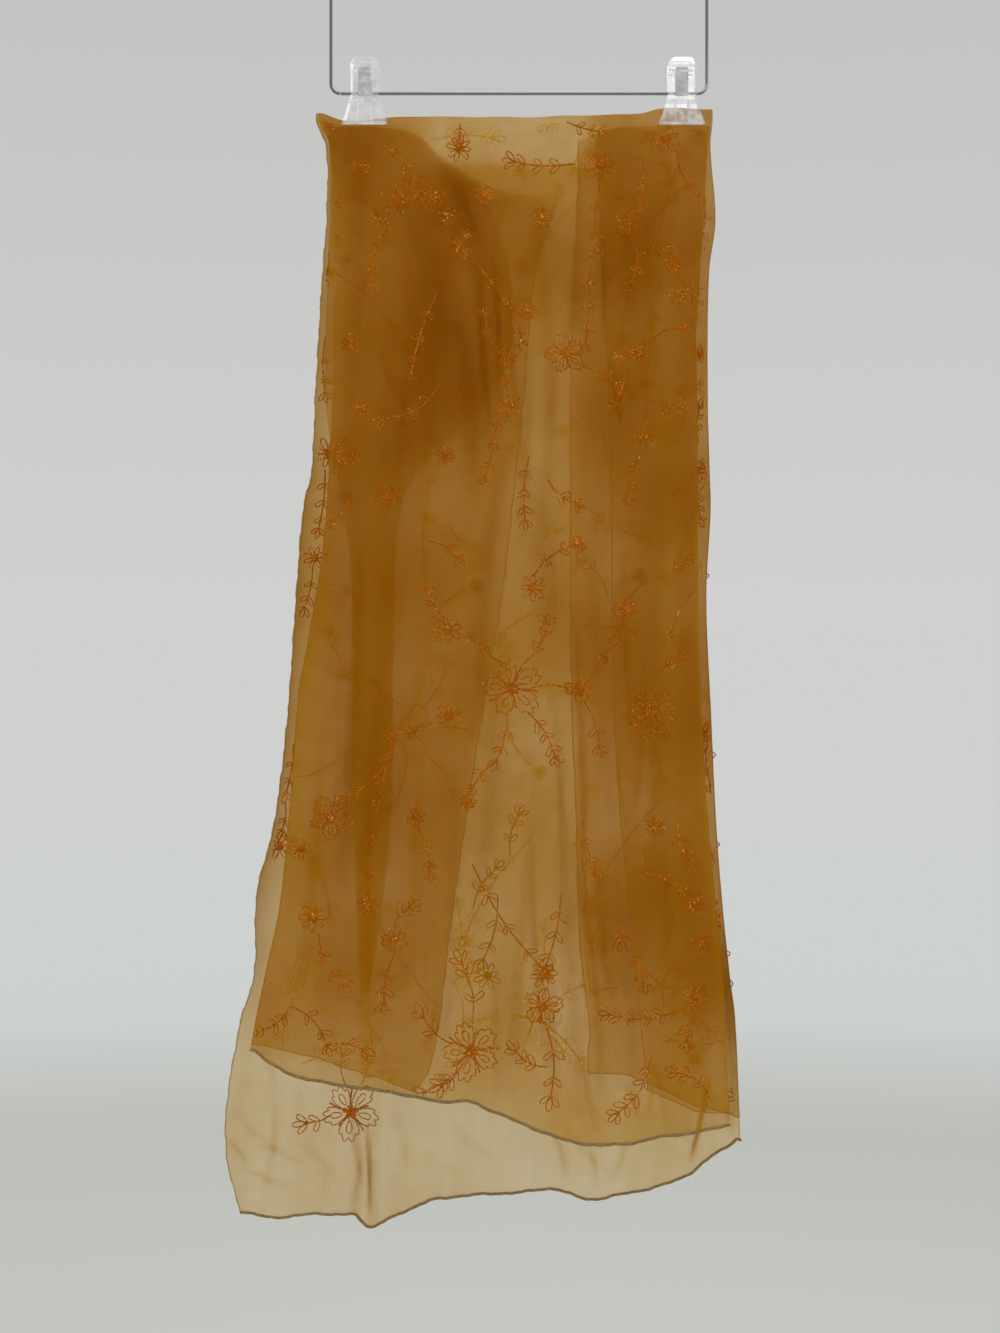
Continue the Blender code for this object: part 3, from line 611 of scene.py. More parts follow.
class Ply:
    """One stretch of the scarf: a half of it, or a side turned in within a half."""

    def __init__(self, half, inset, top, hem, left, right, left_fold, right_fold):
        self.half, self.inset, self.top, self.hem = half, inset, top, hem
        self.left, self.right = left, right
        self.left_fold, self.right_fold = left_fold, right_fold
        self.folds = FRONT_FOLDS if half == FRONT else BACK_FOLDS
        self.creases = FRONT_CREASES if half == FRONT else BACK_CREASES

    def depth(self, x, drop):
        """Y of the cloth's middle, how closely its threads lie with the painted shade in it, and the
        crease and side shade that deepens its colour.
        """
        lift = fold_height(self.folds, x, drop)
        grip = rise(drop, GRIP_DROP / MM, GRIP_FADE)
        fine, gather_and_shade = crease_height(self.creases, x, drop)
        ripple = crinkle(x, drop)
        out = layer_distance(drop) + lift + grip * (fine + CRINKLE_HEIGHT * ripple)
        if self.inset:
            out = out - self.inset(drop) - TURN_SLACK * (lift + np.maximum(grip * fine, 0.0))
        cloud = crinkle(CLOUD_STRETCH[0] * x + CLOUD_SHIFT, CLOUD_STRETCH[1] * drop)
        crease_and_shade = gather_and_shade * grip
        even = CRINKLE_GATHER * ripple + CLOUD_GATHER * cloud
        close_and_shade = crease_and_shade + even + self.closeness_and_shade(x, drop)
        return self.half * out, close_and_shade, np.maximum(crease_and_shade, 0.0) + self.side_painted_shade(x, drop)

    def closeness_and_shade(self, x, drop):
        """How much closer the cloth's small gathers lie over a whole stretch of it. On the back half it is
        painted shadow, the shade of a close wall behind the cloth: deepest below the neck, high up, in the
        middle and along the left side, and lifting towards the hem.
        """
        if self.inset is turn_distance:
            free = self.left(drop) if self.right_fold else self.right(drop)
            from_free = np.abs(x - free) / FREE_REACH
            from_top = np.maximum(drop - self.top(x), 0.0) / TOP_REACH
            thinning = FREE_THINNING * (1.0 - LOWER_LOSS * rise(drop, *LOWER_SIDES))
            if self.right_fold:
                thinning = thinning * rise(drop, *RIGHT_TURN_START)
            return -thinning * np.exp(-from_free) - TOP_THINNING * np.exp(-from_top)
        if self.half == FRONT:
            return 0.0
        if self.inset is tuck_distance:
            return TUCK_GATHER * rise(drop, *TUCK_START)
        # Painted shadow on the back half: darker below the neck, high up, in the middle and along the left
        # side, lighter near the hem.
        beside_neck = rise(np.abs(x - NECK_X), *NECK_SIDES)
        below_neck = np.maximum(rise(drop, *NECK_END), beside_neck)
        above_hem = 1.0 - rise(drop, *HEM_OPENING)
        high = UPPER_PAINTED_SHADOW * swell(drop, *UPPER_PLACE) * (1.0 - rise(x, *UPPER_RIGHT))
        high = high + MIDDLE_PAINTED_SHADOW * swell(drop, *MIDDLE_PLACE)
        from_side = np.maximum(x - self.left(drop), 0.0) / LEFT_REACH
        beside = LEFT_PAINTED_SHADOW * np.exp(-from_side) * rise(drop, *LEFT_START)
        beside = beside * (1.0 - rise(drop, *LEFT_END))
        return (BACK_PAINTED_SHADOW + high) * below_neck * above_hem + beside

    def side_painted_shade(self, x, drop):
        """Painted shade: how much deeper in colour the back half is along its two sides."""
        if self.half == FRONT or self.inset:
            return 0.0
        from_left = np.maximum(x - self.left(drop), 0.0) / SIDE_REACH
        from_right = np.maximum(self.right(drop) - x, 0.0) / SIDE_REACH
        above_hem = 1.0 - rise(drop, *SIDE_END)
        return SIDE_PAINTED_SHADE * above_hem * (np.exp(-from_left) + np.exp(-from_right))

    def separation(self, x, drop):
        """The distance between a half and its turned-in side."""
        fine, _ = crease_height(self.creases, x, drop)
        lift = fold_height(self.folds, x, drop) + np.maximum(fine, 0.0)
        return turn_distance(drop) + TURN_SLACK * lift

    def side_line(self, side, v):
        x = side(self.top(0.0)) * np.ones_like(v)
        for _ in range(SIDE_ROUNDS):
            drop = self.top(x) + (self.hem(x) - self.top(x)) * v
            x = side(drop)
        return x

    def grid(self, down, across):
        """Points of the stretch, with its closeness and painted shade and its crease and side shade, rows
        from its top to its hem.
        """
        v = np.linspace(0.0, 1.0, down + 1)[:, None]
        left, right = self.side_line(self.left, v), self.side_line(self.right, v)
        low, high = left, right

        def drop_at(x):
            return self.top(x) + (self.hem(x) - self.top(x)) * v

        for _ in range(FOLD_ROUNDS):
            if self.left_fold:
                low = left + self.separation(low, drop_at(low)) / 2.0
            if self.right_fold:
                high = right - self.separation(high, drop_at(high)) / 2.0
        u = np.linspace(0.0, 1.0, across + 1)[None, :]
        towards = self.half if self.inset else -self.half
        angles = np.linspace(0.0, math.pi / 2.0, ARC_STEPS + 1)[1:]

        def strip(x, side=0.0, angle=0.0):
            drop = drop_at(x)
            y, close_and_shade, crease_and_shade = self.depth(x, drop)
            radius = self.separation(x, drop) / 2.0 if side else 0.0
            out_x = x + side * radius * np.sin(angle)
            out_y = y + towards * radius * (1.0 - np.cos(angle))
            full = np.ones(np.broadcast(out_x, out_y).shape)
            points = np.stack([out_x * full, out_y * full, (BAR_Z - drop) * full], axis=-1)
            return points, np.stack([close_and_shade * full, crease_and_shade * full], axis=-1)

        parts = [strip(low + (high - low) * u)]
        if self.left_fold:
            parts.insert(0, strip(low * np.ones((1, ARC_STEPS)), -1.0, angles[::-1][None, :]))
        if self.right_fold:
            parts.append(strip(high * np.ones((1, ARC_STEPS)), 1.0, angles[None, :]))
        points = np.concatenate([part[0] for part in parts], axis=1)
        drawn = np.concatenate([part[1] for part in parts], axis=1)
        if self.inset is None:
            points, drawn = self.over_crown(points, drawn)
        return points, drawn

    def over_crown(self, points, drawn):
        """Adds the rows that bend over towards the other half."""
        start = points[0]
        share = np.abs(start[:, 1]) / CROWN_RADIUS
        rows = []
        for angle in np.linspace(CROWN_START, math.pi / 2.0, CROWN_STEPS, endpoint=False):
            row = start.copy()
            row[:, 1] = self.half * CROWN_RADIUS * math.sin(angle) * share
            row[:, 2] += CROWN_RADIUS * math.cos(angle)
            rows.append(row)
        crown_drawn = np.repeat(drawn[:1], CROWN_STEPS, axis=0)
        return np.concatenate([np.array(rows), points]), np.concatenate([crown_drawn, drawn])


crown_line = curve_through(CROWN, 0, 1)
front_left_edge = curve_through(FRONT_EDGES, DROP, LEFT)
front_right_edge = curve_through(FRONT_EDGES, DROP, RIGHT)
back_right_edge = curve_through(BACK_EDGES, DROP, RIGHT)


CROWN_WAVE = 0.35 * MM
# length, share of the height, shift
CROWN_WAVES = [(8.5, 1.0, 0.0), (15.0, 0.8, 1.0)]


def crown_root(x):
    """Height of the crown's lower edge, with the small waves of a soft fold."""
    wave = sum(share * np.sin(x / (length * MM) + shift) for length, share, shift in CROWN_WAVES)
    return crown_line(x) + CROWN_RADIUS + CROWN_WAVE * wave


PLIES = {
    "front_drop": Ply(
        FRONT, None, crown_root, curve_through(FRONT_HEM, 0, 1),
        front_left_edge, front_right_edge, True, True,
    ),
    "back_drop": Ply(
        BACK, None, crown_root, curve_through(BACK_HEM, 0, 1),
        curve_through(BACK_EDGES, DROP, LEFT), back_right_edge, False, True,
    ),
    "front_left_turn": Ply(
        FRONT, turn_distance, curve_through(LEFT_SAG, 0, 1), curve_through(FRONT_LEFT_HEM, 0, 1),
        front_left_edge, curve_through(FRONT_LEFT_FREE, 0, 1), True, False,
    ),
    "front_right_turn": Ply(
        FRONT, turn_distance, curve_through(RIGHT_SAG, 0, 1), curve_through(FRONT_RIGHT_HEM, 0, 1),
        curve_through(FRONT_RIGHT_FREE, 0, 1), front_right_edge, False, True,
    ),
    "back_right_turn": Ply(
        BACK, turn_distance, curve_through(RIGHT_SAG, 0, 1), curve_through(BACK_RIGHT_HEM, 0, 1),
        curve_through(BACK_RIGHT_FREE, 0, 1), back_right_edge, False, True,
    ),
    "back_left_turn": Ply(
        BACK, tuck_distance, curve_through(BACK_LEFT_SAG, 0, 1), curve_through(BACK_LEFT_END, 0, 1),
        curve_through(BACK_LEFT_TUCK, DROP, LEFT), curve_through(BACK_LEFT_TUCK, DROP, RIGHT),
        False, False,
    ),
}

# Weave: two sets of fine translucent yarns with clear gaps between them, uneven here and there
# where a thicker yarn was thrown in. Where the cloth is drawn together it covers more.
# Painted shade along the creases, the sides and the back half also covers more and deepens the colour.
YARN_COVER = 0.36
CLOSENESS_AND_SHADE_COVER = 0.30
DEEPENING = 0.20
CREASE_AND_SIDE_SHADE_DEEPENING = 0.36
LEAST_COVER, MOST_COVER = 0.05, 0.92
YARN_PITCH = 0.5 * MM
WEAVE_SHARE = 0.012
SLUB_SHARE = 0.10
SLUB_WIDTH, SLUB_LENGTH = 1.6 * MM, 200.0 * MM


def colour_mix(nodes, first, second):
    """A node that goes from one colour to another."""
    mix = nodes.new("ShaderNodeMix")
    mix.data_type = "RGBA"
    mix.inputs["A"].default_value = (*first, 1.0)
    mix.inputs["B"].default_value = (*second, 1.0)
    return mix


def organza_material():
    material, nodes, links, output = new_material("crisp_organza")

    def maths(operation, a, b):
        node = nodes.new("ShaderNodeMath")
        node.operation = operation
        for socket, value in ((0, a), (1, b)):
            if isinstance(value, (int, float)):
                node.inputs[socket].default_value = value
            else:
                links.new(value, node.inputs[socket])
        return node.outputs[0]

    def attribute(name):
        node = add_node(nodes, "Attribute")
        node.attribute_name = name
        return node.outputs["Fac"]

    place = add_node(nodes, "TexCoord")
    stretch = add_node(nodes, "Mapping", Scale=(1.0 / SLUB_WIDTH, 1.0, 1.0 / SLUB_LENGTH))
    noise = add_node(nodes, "TexNoise", Scale=1.0, Detail=0.0)
    split = add_node(nodes, "SeparateXYZ")
    yarns = [
        maths("SINE", maths("MULTIPLY", split.outputs[axis], 2.0 * math.pi / YARN_PITCH), 0.0)
        for axis in ("X", "Z")
    ]
    weave = maths("MULTIPLY", maths("ADD", *yarns), WEAVE_SHARE)
    slub = maths("MULTIPLY", maths("SUBTRACT", noise.outputs["Fac"], 0.5), SLUB_SHARE)
    uneven = maths("MULTIPLY", maths("ADD", slub, weave), YARN_COVER)
    # Both attributes carry painted shade along with how closely the threads lie.
    drawn, crease_and_shade = attribute("closeness_and_shade"), attribute("crease_and_side_shade")
    denser_and_shaded = maths("MULTIPLY", drawn, CLOSENESS_AND_SHADE_COVER)
    cover = maths("ADD", maths("ADD", denser_and_shaded, YARN_COVER), uneven)
    limit = maths("MINIMUM", maths("MAXIMUM", cover, LEAST_COVER), MOST_COVER)
    even_depth = maths("MULTIPLY", drawn, DEEPENING)
    crease_shade_depth = maths("MULTIPLY", crease_and_shade, CREASE_AND_SIDE_SHADE_DEEPENING)
    depth = colour_mix(nodes, (0.72, 0.475, 0.005), (0.37, 0.175, 0.0015))
    through = add_node(nodes, "BsdfTranslucent")
    face = add_node(nodes, "BsdfDiffuse", Color=(0.74, 0.27, 0.01, 1.0))
    yarn = add_node(nodes, "MixShader", Fac=0.10)
    sheen = add_node(nodes, "BsdfGlossy", Color=(0.85, 0.42, 0.05, 1.0), Roughness=0.42)
    glossed = add_node(nodes, "MixShader", Fac=0.03)
    gaps = add_node(nodes, "BsdfTransparent")
    cloth = add_node(nodes, "MixShader")
    links.new(maths("ADD", even_depth, crease_shade_depth), depth.inputs["Factor"])
    links.new(limit, cloth.inputs["Fac"])
    join(
        links, (place, "Object", stretch, "Vector"), (stretch, "Vector", noise, "Vector"),
        (place, "Object", split, "Vector"), (depth, "Result", through, "Color"),
        (through, "BSDF", yarn, 1), (face, "BSDF", yarn, 2), (yarn, "Shader", glossed, 1),
        (sheen, "BSDF", glossed, 2), (gaps, "BSDF", cloth, 1), (glossed, "Shader", cloth, 2),
        (cloth, "Shader", output, "Surface"),
    )
    return material


organza = organza_material()
# rows down and columns across of each stretch
FINENESS = {
    "front_drop": (240, 170), "back_drop": (240, 180), "front_left_turn": (220, 84),
    "front_right_turn": (220, 44), "back_right_turn": (220, 38), "back_left_turn": (180, 40),
}
LEAST_STEP = 0.05 * MM
STEEPEST = 2.0
# how much the cloth's steepness adds to each: it darkens the cloth where it turns edge on to the front,
# for the longer path through it and as painted shade
STEEP_SHARES = {"closeness_and_shade": 0.5, "crease_and_side_shade": 0.3}
grids, sheets = {}, {}
for name, ply in PLIES.items():
    points, drawn = ply.grid(*FINENESS[name])
    steep_x = np.gradient(points[..., 1], axis=1) / np.maximum(
        np.abs(np.gradient(points[..., 0], axis=1)), LEAST_STEP
    )
    steepness = np.sqrt(1.0 + np.clip(steep_x, -STEEPEST, STEEPEST) ** 2) - 1.0
    mesh, row, column = grid_mesh(name + "_organza", points, with_uv=True)
    for layer, (measure, share) in enumerate(STEEP_SHARES.items()):
        values = (drawn[..., layer] + share * steepness)[row, column]
        attribute = mesh.attributes.new(measure, "FLOAT", "POINT")
        attribute.data.foreach_set("value", values.astype(np.float32))
    sheet = new_object(name + "_organza", mesh)
    sheet.data.materials.append(organza)
    wall = sheet.modifiers.new("cloth_thickness", "SOLIDIFY")
    wall.thickness = CLOTH_THICKNESS
    wall.offset = 0.0
    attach(sheet, "root")
    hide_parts(name)
    grids[name], sheets[name] = points, sheet

# Rolled hem: the cut edge is rolled tightly under and caught with matt thread, so it shows
# as a narrow, slightly wavy olive brown cord along every cut edge.
HEM_RADIUS = 1.45 * MM
TURN_HEM_RADIUS = 0.55 * MM
HEM_STEP = 1.6 * MM
MERGE_DISTANCE = 0.01 * MM
SHORTEST = 1e-9
HEM_WAVE = 0.35 * MM
# length of the wave, share of its height
HEM_WAVES = [(11.0, 0.5), (23.0, 0.9), (47.0, 0.8)]


def tube_mesh(name, lines, radius, roundness):
    """Tubes along lines of points. Each line is its points, its relative thickness and closed."""
    curve = bpy.data.curves.new(name, "CURVE")
    curve.dimensions = "3D"
    curve.bevel_depth = radius
    curve.bevel_resolution = roundness
    curve.use_fill_caps = True
    for points, thickness, closed in lines:
        spline = curve.splines.new("POLY")
        spline.points.add(len(points) - 1)
        flat = np.concatenate([points, np.ones((len(points), 1))], axis=1)
        spline.points.foreach_set("co", flat.astype(np.float32).ravel())
        spline.points.foreach_set("radius", np.full(len(points), thickness, np.float32))
        spline.use_cyclic_u = closed
    drawn = new_object(name + "_line", curve)
    bpy.context.view_layer.update()
    evaluated = drawn.evaluated_get(bpy.context.evaluated_depsgraph_get())
    mesh = bpy.data.meshes.new_from_object(evaluated)
    bpy.data.objects.remove(drawn)
    bpy.data.curves.remove(curve)
    mesh.name = name
    bm = bmesh.new()
    bm.from_mesh(mesh)
    bmesh.ops.remove_doubles(bm, verts=bm.verts, dist=MERGE_DISTANCE)
    bm.to_mesh(mesh)
    bm.free()
    mesh.shade_smooth()
    return mesh


def hem_line(points, seed):
    """Even points along an edge, with the small waves of a rolled hem."""
    steps = np.linalg.norm(np.diff(points, axis=0), axis=1)
    along = np.concatenate([[0.0], np.cumsum(steps)])
    at = np.linspace(0.0, along[-1], int(along[-1] / HEM_STEP) + 1)
    line = np.stack([np.interp(at, along, points[:, i]) for i in range(3)], axis=1)
    draw = random.Random(seed)
    ahead = np.gradient(line, axis=0)
    ahead /= np.maximum(np.linalg.norm(ahead, axis=1, keepdims=True), SHORTEST)
    side = np.cross(ahead, np.array([0.0, 1.0, 0.0]))
    for wavelength, share in HEM_WAVES:
        phase = draw.uniform(0.0, 2.0 * math.pi)
        wave = np.sin(2.0 * math.pi * at / (wavelength * MM) + phase)
        line = line + side * (HEM_WAVE * share * wave)[:, None]
    return line


def free_border(points, free_at_right):
    """Down the free side of a turned-in stretch and along its end."""
    down = points[:, -1 if free_at_right else 0]
    along = points[-1, ::-1] if free_at_right else points[-1]
    return np.concatenate([down, along[1:]])


HEM_LINES = {
    "front_hem": grids["front_drop"][-1],
    "back_hem": grids["back_drop"][-1],
    "back_side_hem": grids["back_drop"][CROWN_STEPS:, 0],
    "front_left_turn_hem": free_border(grids["front_left_turn"], True),
    "front_right_turn_hem": free_border(grids["front_right_turn"], False),
    "back_right_turn_hem": free_border(grids["back_right_turn"], False),
}


def hem_material(name, dark, light):
    """Matt stitched thread whose tone changes from stitch to stitch."""
    material, nodes, links, output = new_material(name)
    shader = add_node(nodes, "BsdfPrincipled", Roughness=0.75, Specular_IOR_Level=0.2)
    stitches = object_noise(nodes, links, 700.0)
    colours = add_node(nodes, "ValToRGB")
    for stop, position, colour in zip(colours.color_ramp.elements, (0.35, 0.68), (dark, light)):
        stop.position = position
        stop.color = (*colour, 1.0)
    relief = add_node(nodes, "Bump", Strength=0.5, Distance=0.3 * MM)
    join(
        links, (stitches, "Fac", colours, "Fac"), (colours, "Color", shader, "Base Color"),
        (stitches, "Fac", relief, "Height"), (relief, "Normal", shader, "Normal"),
        (shader, "BSDF", output, "Surface"),
    )
    return material


end_hemming = hem_material("rolled_hem_thread", (0.16, 0.10, 0.034), (0.37, 0.25, 0.095))
side_hemming = hem_material("fine_rolled_hem_thread", (0.31, 0.17, 0.032), (0.50, 0.31, 0.07))
hems = {}
for seed, (node, edge) in enumerate(HEM_LINES.items()):
    at_side = node not in ("front_hem", "back_hem")
    radius = TURN_HEM_RADIUS if at_side else HEM_RADIUS
    piece = new_object(
        node + "_roll", tube_mesh(node + "_roll", [(hem_line(edge, seed), 1.0, False)], radius, 1)
    )
    piece.data.materials.append(side_hemming if at_side else end_hemming)
    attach(piece, "root")
    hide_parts(node)
    hems[node] = piece

# Embroidery: single lines of rust thread with a metal glint, worked in chain stitch through the
# organza: scalloped flowers, small looped flowers and leafy sprigs, scattered all over the cloth.
THREAD_RADIUS = 0.56 * MM
FINE_SHARE = 0.72
EDGE_ROOM = 3.0 * MM
THREAD_STANDOFF = 0.45 * MM
LOOP_STEPS = 11
STEM_THICKNESS, SPOKE_THICKNESS, KNOT_THICKNESS = 1.3, 1.5, 1.6
LOOP_ROOT_WIDTH = 0.55
STITCH_LENGTH = 3.0
stitch_draw = random.Random(21)


def turned(points, x, drop, angle):
    """Points of a motif, turned and moved to their place on the cloth."""
    points = np.asarray(points)
    c, s = math.cos(angle), math.sin(angle)
    return np.stack(
        [x + points[:, 0] * c - points[:, 1] * s, drop - points[:, 0] * s - points[:, 1] * c], axis=1
    )


def loop(x, drop, angle, start, end, width):
    """One looped petal or leaf that leaves its root and comes back to it."""
    t = np.linspace(0.0, 2.0 * math.pi, LOOP_STEPS, endpoint=False)
    along = start + (end - start) * (1.0 - np.cos(t)) / 2.0
    fullness = LOOP_ROOT_WIDTH + (1.0 - LOOP_ROOT_WIDTH) * (1.0 - np.cos(t)) / 2.0
    outline = np.stack([along, width / 2.0 * np.sin(t) * fullness], axis=1)
    return turned(outline, x, drop, angle), 1.0, True


def line_between(x1, drop1, x2, drop2, bow, thickness=STEM_THICKNESS):
    length = math.hypot(x2 - x1, drop2 - drop1)
    t = np.linspace(0.0, 1.0, max(3, int(length / STITCH_LENGTH)))
    nx, nd = (drop2 - drop1) / length, -(x2 - x1) / length
    off = bow * np.sin(math.pi * t)
    points = np.stack([x1 + (x2 - x1) * t + nx * off, drop1 + (drop2 - drop1) * t + nd * off], axis=1)
    return points, thickness, False


KNOT_STITCHES, KNOT_TURN, KNOT_BOW = 5, (-0.2, 0.2), 0.3


def stitched_middle(x, drop, radius):
    """Short strong stitches that cross in the middle of a flower."""
    lines = [loop(x - radius / 2.0, drop, 0.0, 0.0, radius, radius)]
    for i in range(KNOT_STITCHES):
        angle = math.pi * i / KNOT_STITCHES + stitch_draw.uniform(*KNOT_TURN)
        step_x, step_drop = radius * math.cos(angle), radius * math.sin(angle)
        ends = (x - step_x, drop - step_drop, x + step_x, drop + step_drop)
        lines.append(line_between(*ends, KNOT_BOW, KNOT_THICKNESS))
    return lines


# shares of the flower's radius, and the ranges that its petals vary in
LOOPED_PETALS = 8
LOOPED_KNOT, PETAL_ROOT, PETAL_WIDTH = 0.34, 0.16, 0.42
PETAL_TURN, PETAL_REACH = (-0.12, 0.12), (0.85, 1.08)


def looped_flower(x, drop, radius, close_middle):
    """Narrow looped petals round a closely stitched middle."""
    first = stitch_draw.uniform(0.0, math.pi)
    lines = stitched_middle(x, drop, radius * LOOPED_KNOT) if close_middle else []
    for i in range(LOOPED_PETALS):
        angle = first + 2.0 * math.pi * i / LOOPED_PETALS + stitch_draw.uniform(*PETAL_TURN)
        reach = radius * stitch_draw.uniform(*PETAL_REACH)
        lines.append(loop(x, drop, angle, radius * PETAL_ROOT, reach, reach * PETAL_WIDTH))
    return lines


BROAD_PETALS = 5
BROAD_KNOT, BROAD_ROOT = 0.26, 0.12
BROAD_REACH, BROAD_SPAN = (0.88, 1.08), (0.84, 0.98)
OUTLINE_POINTS, SCALLOPS, SCALLOP_DEPTH = 33, 4.0, 0.17
WAIST, ROUNDING = 0.34, 0.42
INNER_START, INNER_END, INNER_WIDTH = 0.30, 0.72, 0.24
SPOKE_REACH, SPOKE_BOW = (0.62, 0.9), 0.6


def scalloped_flower(x, drop, radius, close_middle):
    """Broad petals with a scalloped edge, a small loop in each and a strong line between them."""
    first = stitch_draw.uniform(0.0, math.pi)
    lines = stitched_middle(x, drop, radius * BROAD_KNOT) if close_middle else []
    for i in range(BROAD_PETALS):
        middle = first + 2.0 * math.pi * i / BROAD_PETALS
        reach = radius * stitch_draw.uniform(*BROAD_REACH)
        half_angle = math.pi / BROAD_PETALS * stitch_draw.uniform(*BROAD_SPAN)
        t = np.linspace(0.0, 1.0, OUTLINE_POINTS)
        scallop = 1.0 - SCALLOP_DEPTH * (1.0 - np.abs(np.sin(SCALLOPS * math.pi * t)))
        r = reach * (WAIST + (1.0 - WAIST) * np.sin(math.pi * t) ** ROUNDING) * scallop
        around = (2.0 * t - 1.0) * half_angle
        outline = np.stack([r * np.cos(around), r * np.sin(around)], axis=1)
        root = np.array([[BROAD_ROOT * radius, 0.0]])
        lines.append((turned(np.concatenate([root, outline, root]), x, drop, middle), 1.0, False))
        inner = (radius * INNER_START, reach * INNER_END, reach * INNER_WIDTH)
        lines.append(loop(x, drop, middle, *inner))
        between = middle + math.pi / BROAD_PETALS
        far = radius * stitch_draw.uniform(*SPOKE_REACH)
        tip_x, tip_drop = x + far * math.cos(between), drop - far * math.sin(between)
        lines.append(line_between(x, drop, tip_x, tip_drop, SPOKE_BOW, SPOKE_THICKNESS))
    return lines


# turn and length of each leaf of a trefoil, and the ranges that leaves vary in
TREFOIL = [(-0.75, 0.85), (0.0, 1.0), (0.75, 0.85)]
TIP_REACH, TIP_WIDTH, TIP_SIZE = (0.9, 1.1), 0.46, 1.2
LEAF_REACH, LEAF_TURN, LEAF_WIDTH = (0.8, 1.15), (0.65, 0.95), 0.5
BARE_TIP = 0.6


def trefoil(x, drop, angle, size):
    """Three leaves at the end of a stem."""
    lines = []
    for turn, reach in TREFOIL:
        length = size * reach * stitch_draw.uniform(*TIP_REACH)
        lines.append(loop(x, drop, angle + turn, 0.0, length, length * TIP_WIDTH))
    return lines


def sprig(x1, drop1, x2, drop2, bow, pairs, leaf):
    """A stem with pairs of looped leaves along it and three at its tip."""
    stem, thickness, closed = line_between(x1, drop1, x2, drop2, bow)
    lines = [(stem, thickness, closed)]
    for i in range(pairs):
        share = (i + 1.0) / (pairs + BARE_TIP)
        at = min(int(share * (len(stem) - 1)), len(stem) - 2)
        step = stem[at + 1] - stem[at]
        angle = math.atan2(-step[1], step[0])
        for side in (-1.0, 1.0):
            length = leaf * stitch_draw.uniform(*LEAF_REACH)
            turn = side * stitch_draw.uniform(*LEAF_TURN)
            lines.append(loop(*stem[at], angle + turn, 0.0, length, length * LEAF_WIDTH))
    step = stem[-1] - stem[-2]
    return lines + trefoil(*stem[-1], math.atan2(-step[1], step[0]), leaf * TIP_SIZE)


# across, drop, radius
FRONT_SCALLOPED = [
    (-7, 568, 29), (-45, 910, 30), (125, 590, 27), (44, 250, 20), (-178, 690, 21), (-176, 345, 18),
    (22, 868, 19),
]
FRONT_LOOPED = [
    (-57, 53, 13), (-113, 98, 17), (78, 68, 15), (22, 120, 11), (101, 126, 11), (-8, 298, 12),
    (-12, 250, 11), (-126, 386, 12), (120, 328, 12), (-68, 512, 14), (58, 567, 14), (-67, 594, 13),
    (13, 472, 13), (-49, 675, 9), (-195, 785, 14), (-118, 806, 13), (-142, 775, 11), (167, 770, 12),
    (173, 808, 11), (24, 838, 14), (166, 859, 13), (140, 44, 14), (115, 250, 9), (-152, 302, 9),
    (-194, 442, 12), (-206, 720, 11), (-176, 106, 8), (-183, 31, 8), (-84, 97, 14), (-68, 118, 9),
    (-32, 98, 9), (8, 208, 10), (56, 431, 9), (152, 196, 9), (-132, 118, 9), (-70, 346, 9),
    (-160, 240, 9), (-158, 346, 9), (-150, 72, 8), (146, 164, 8), (100, 492, 10), (-98, 690, 10),
    (96, 806, 11), (128, 700, 10),
]
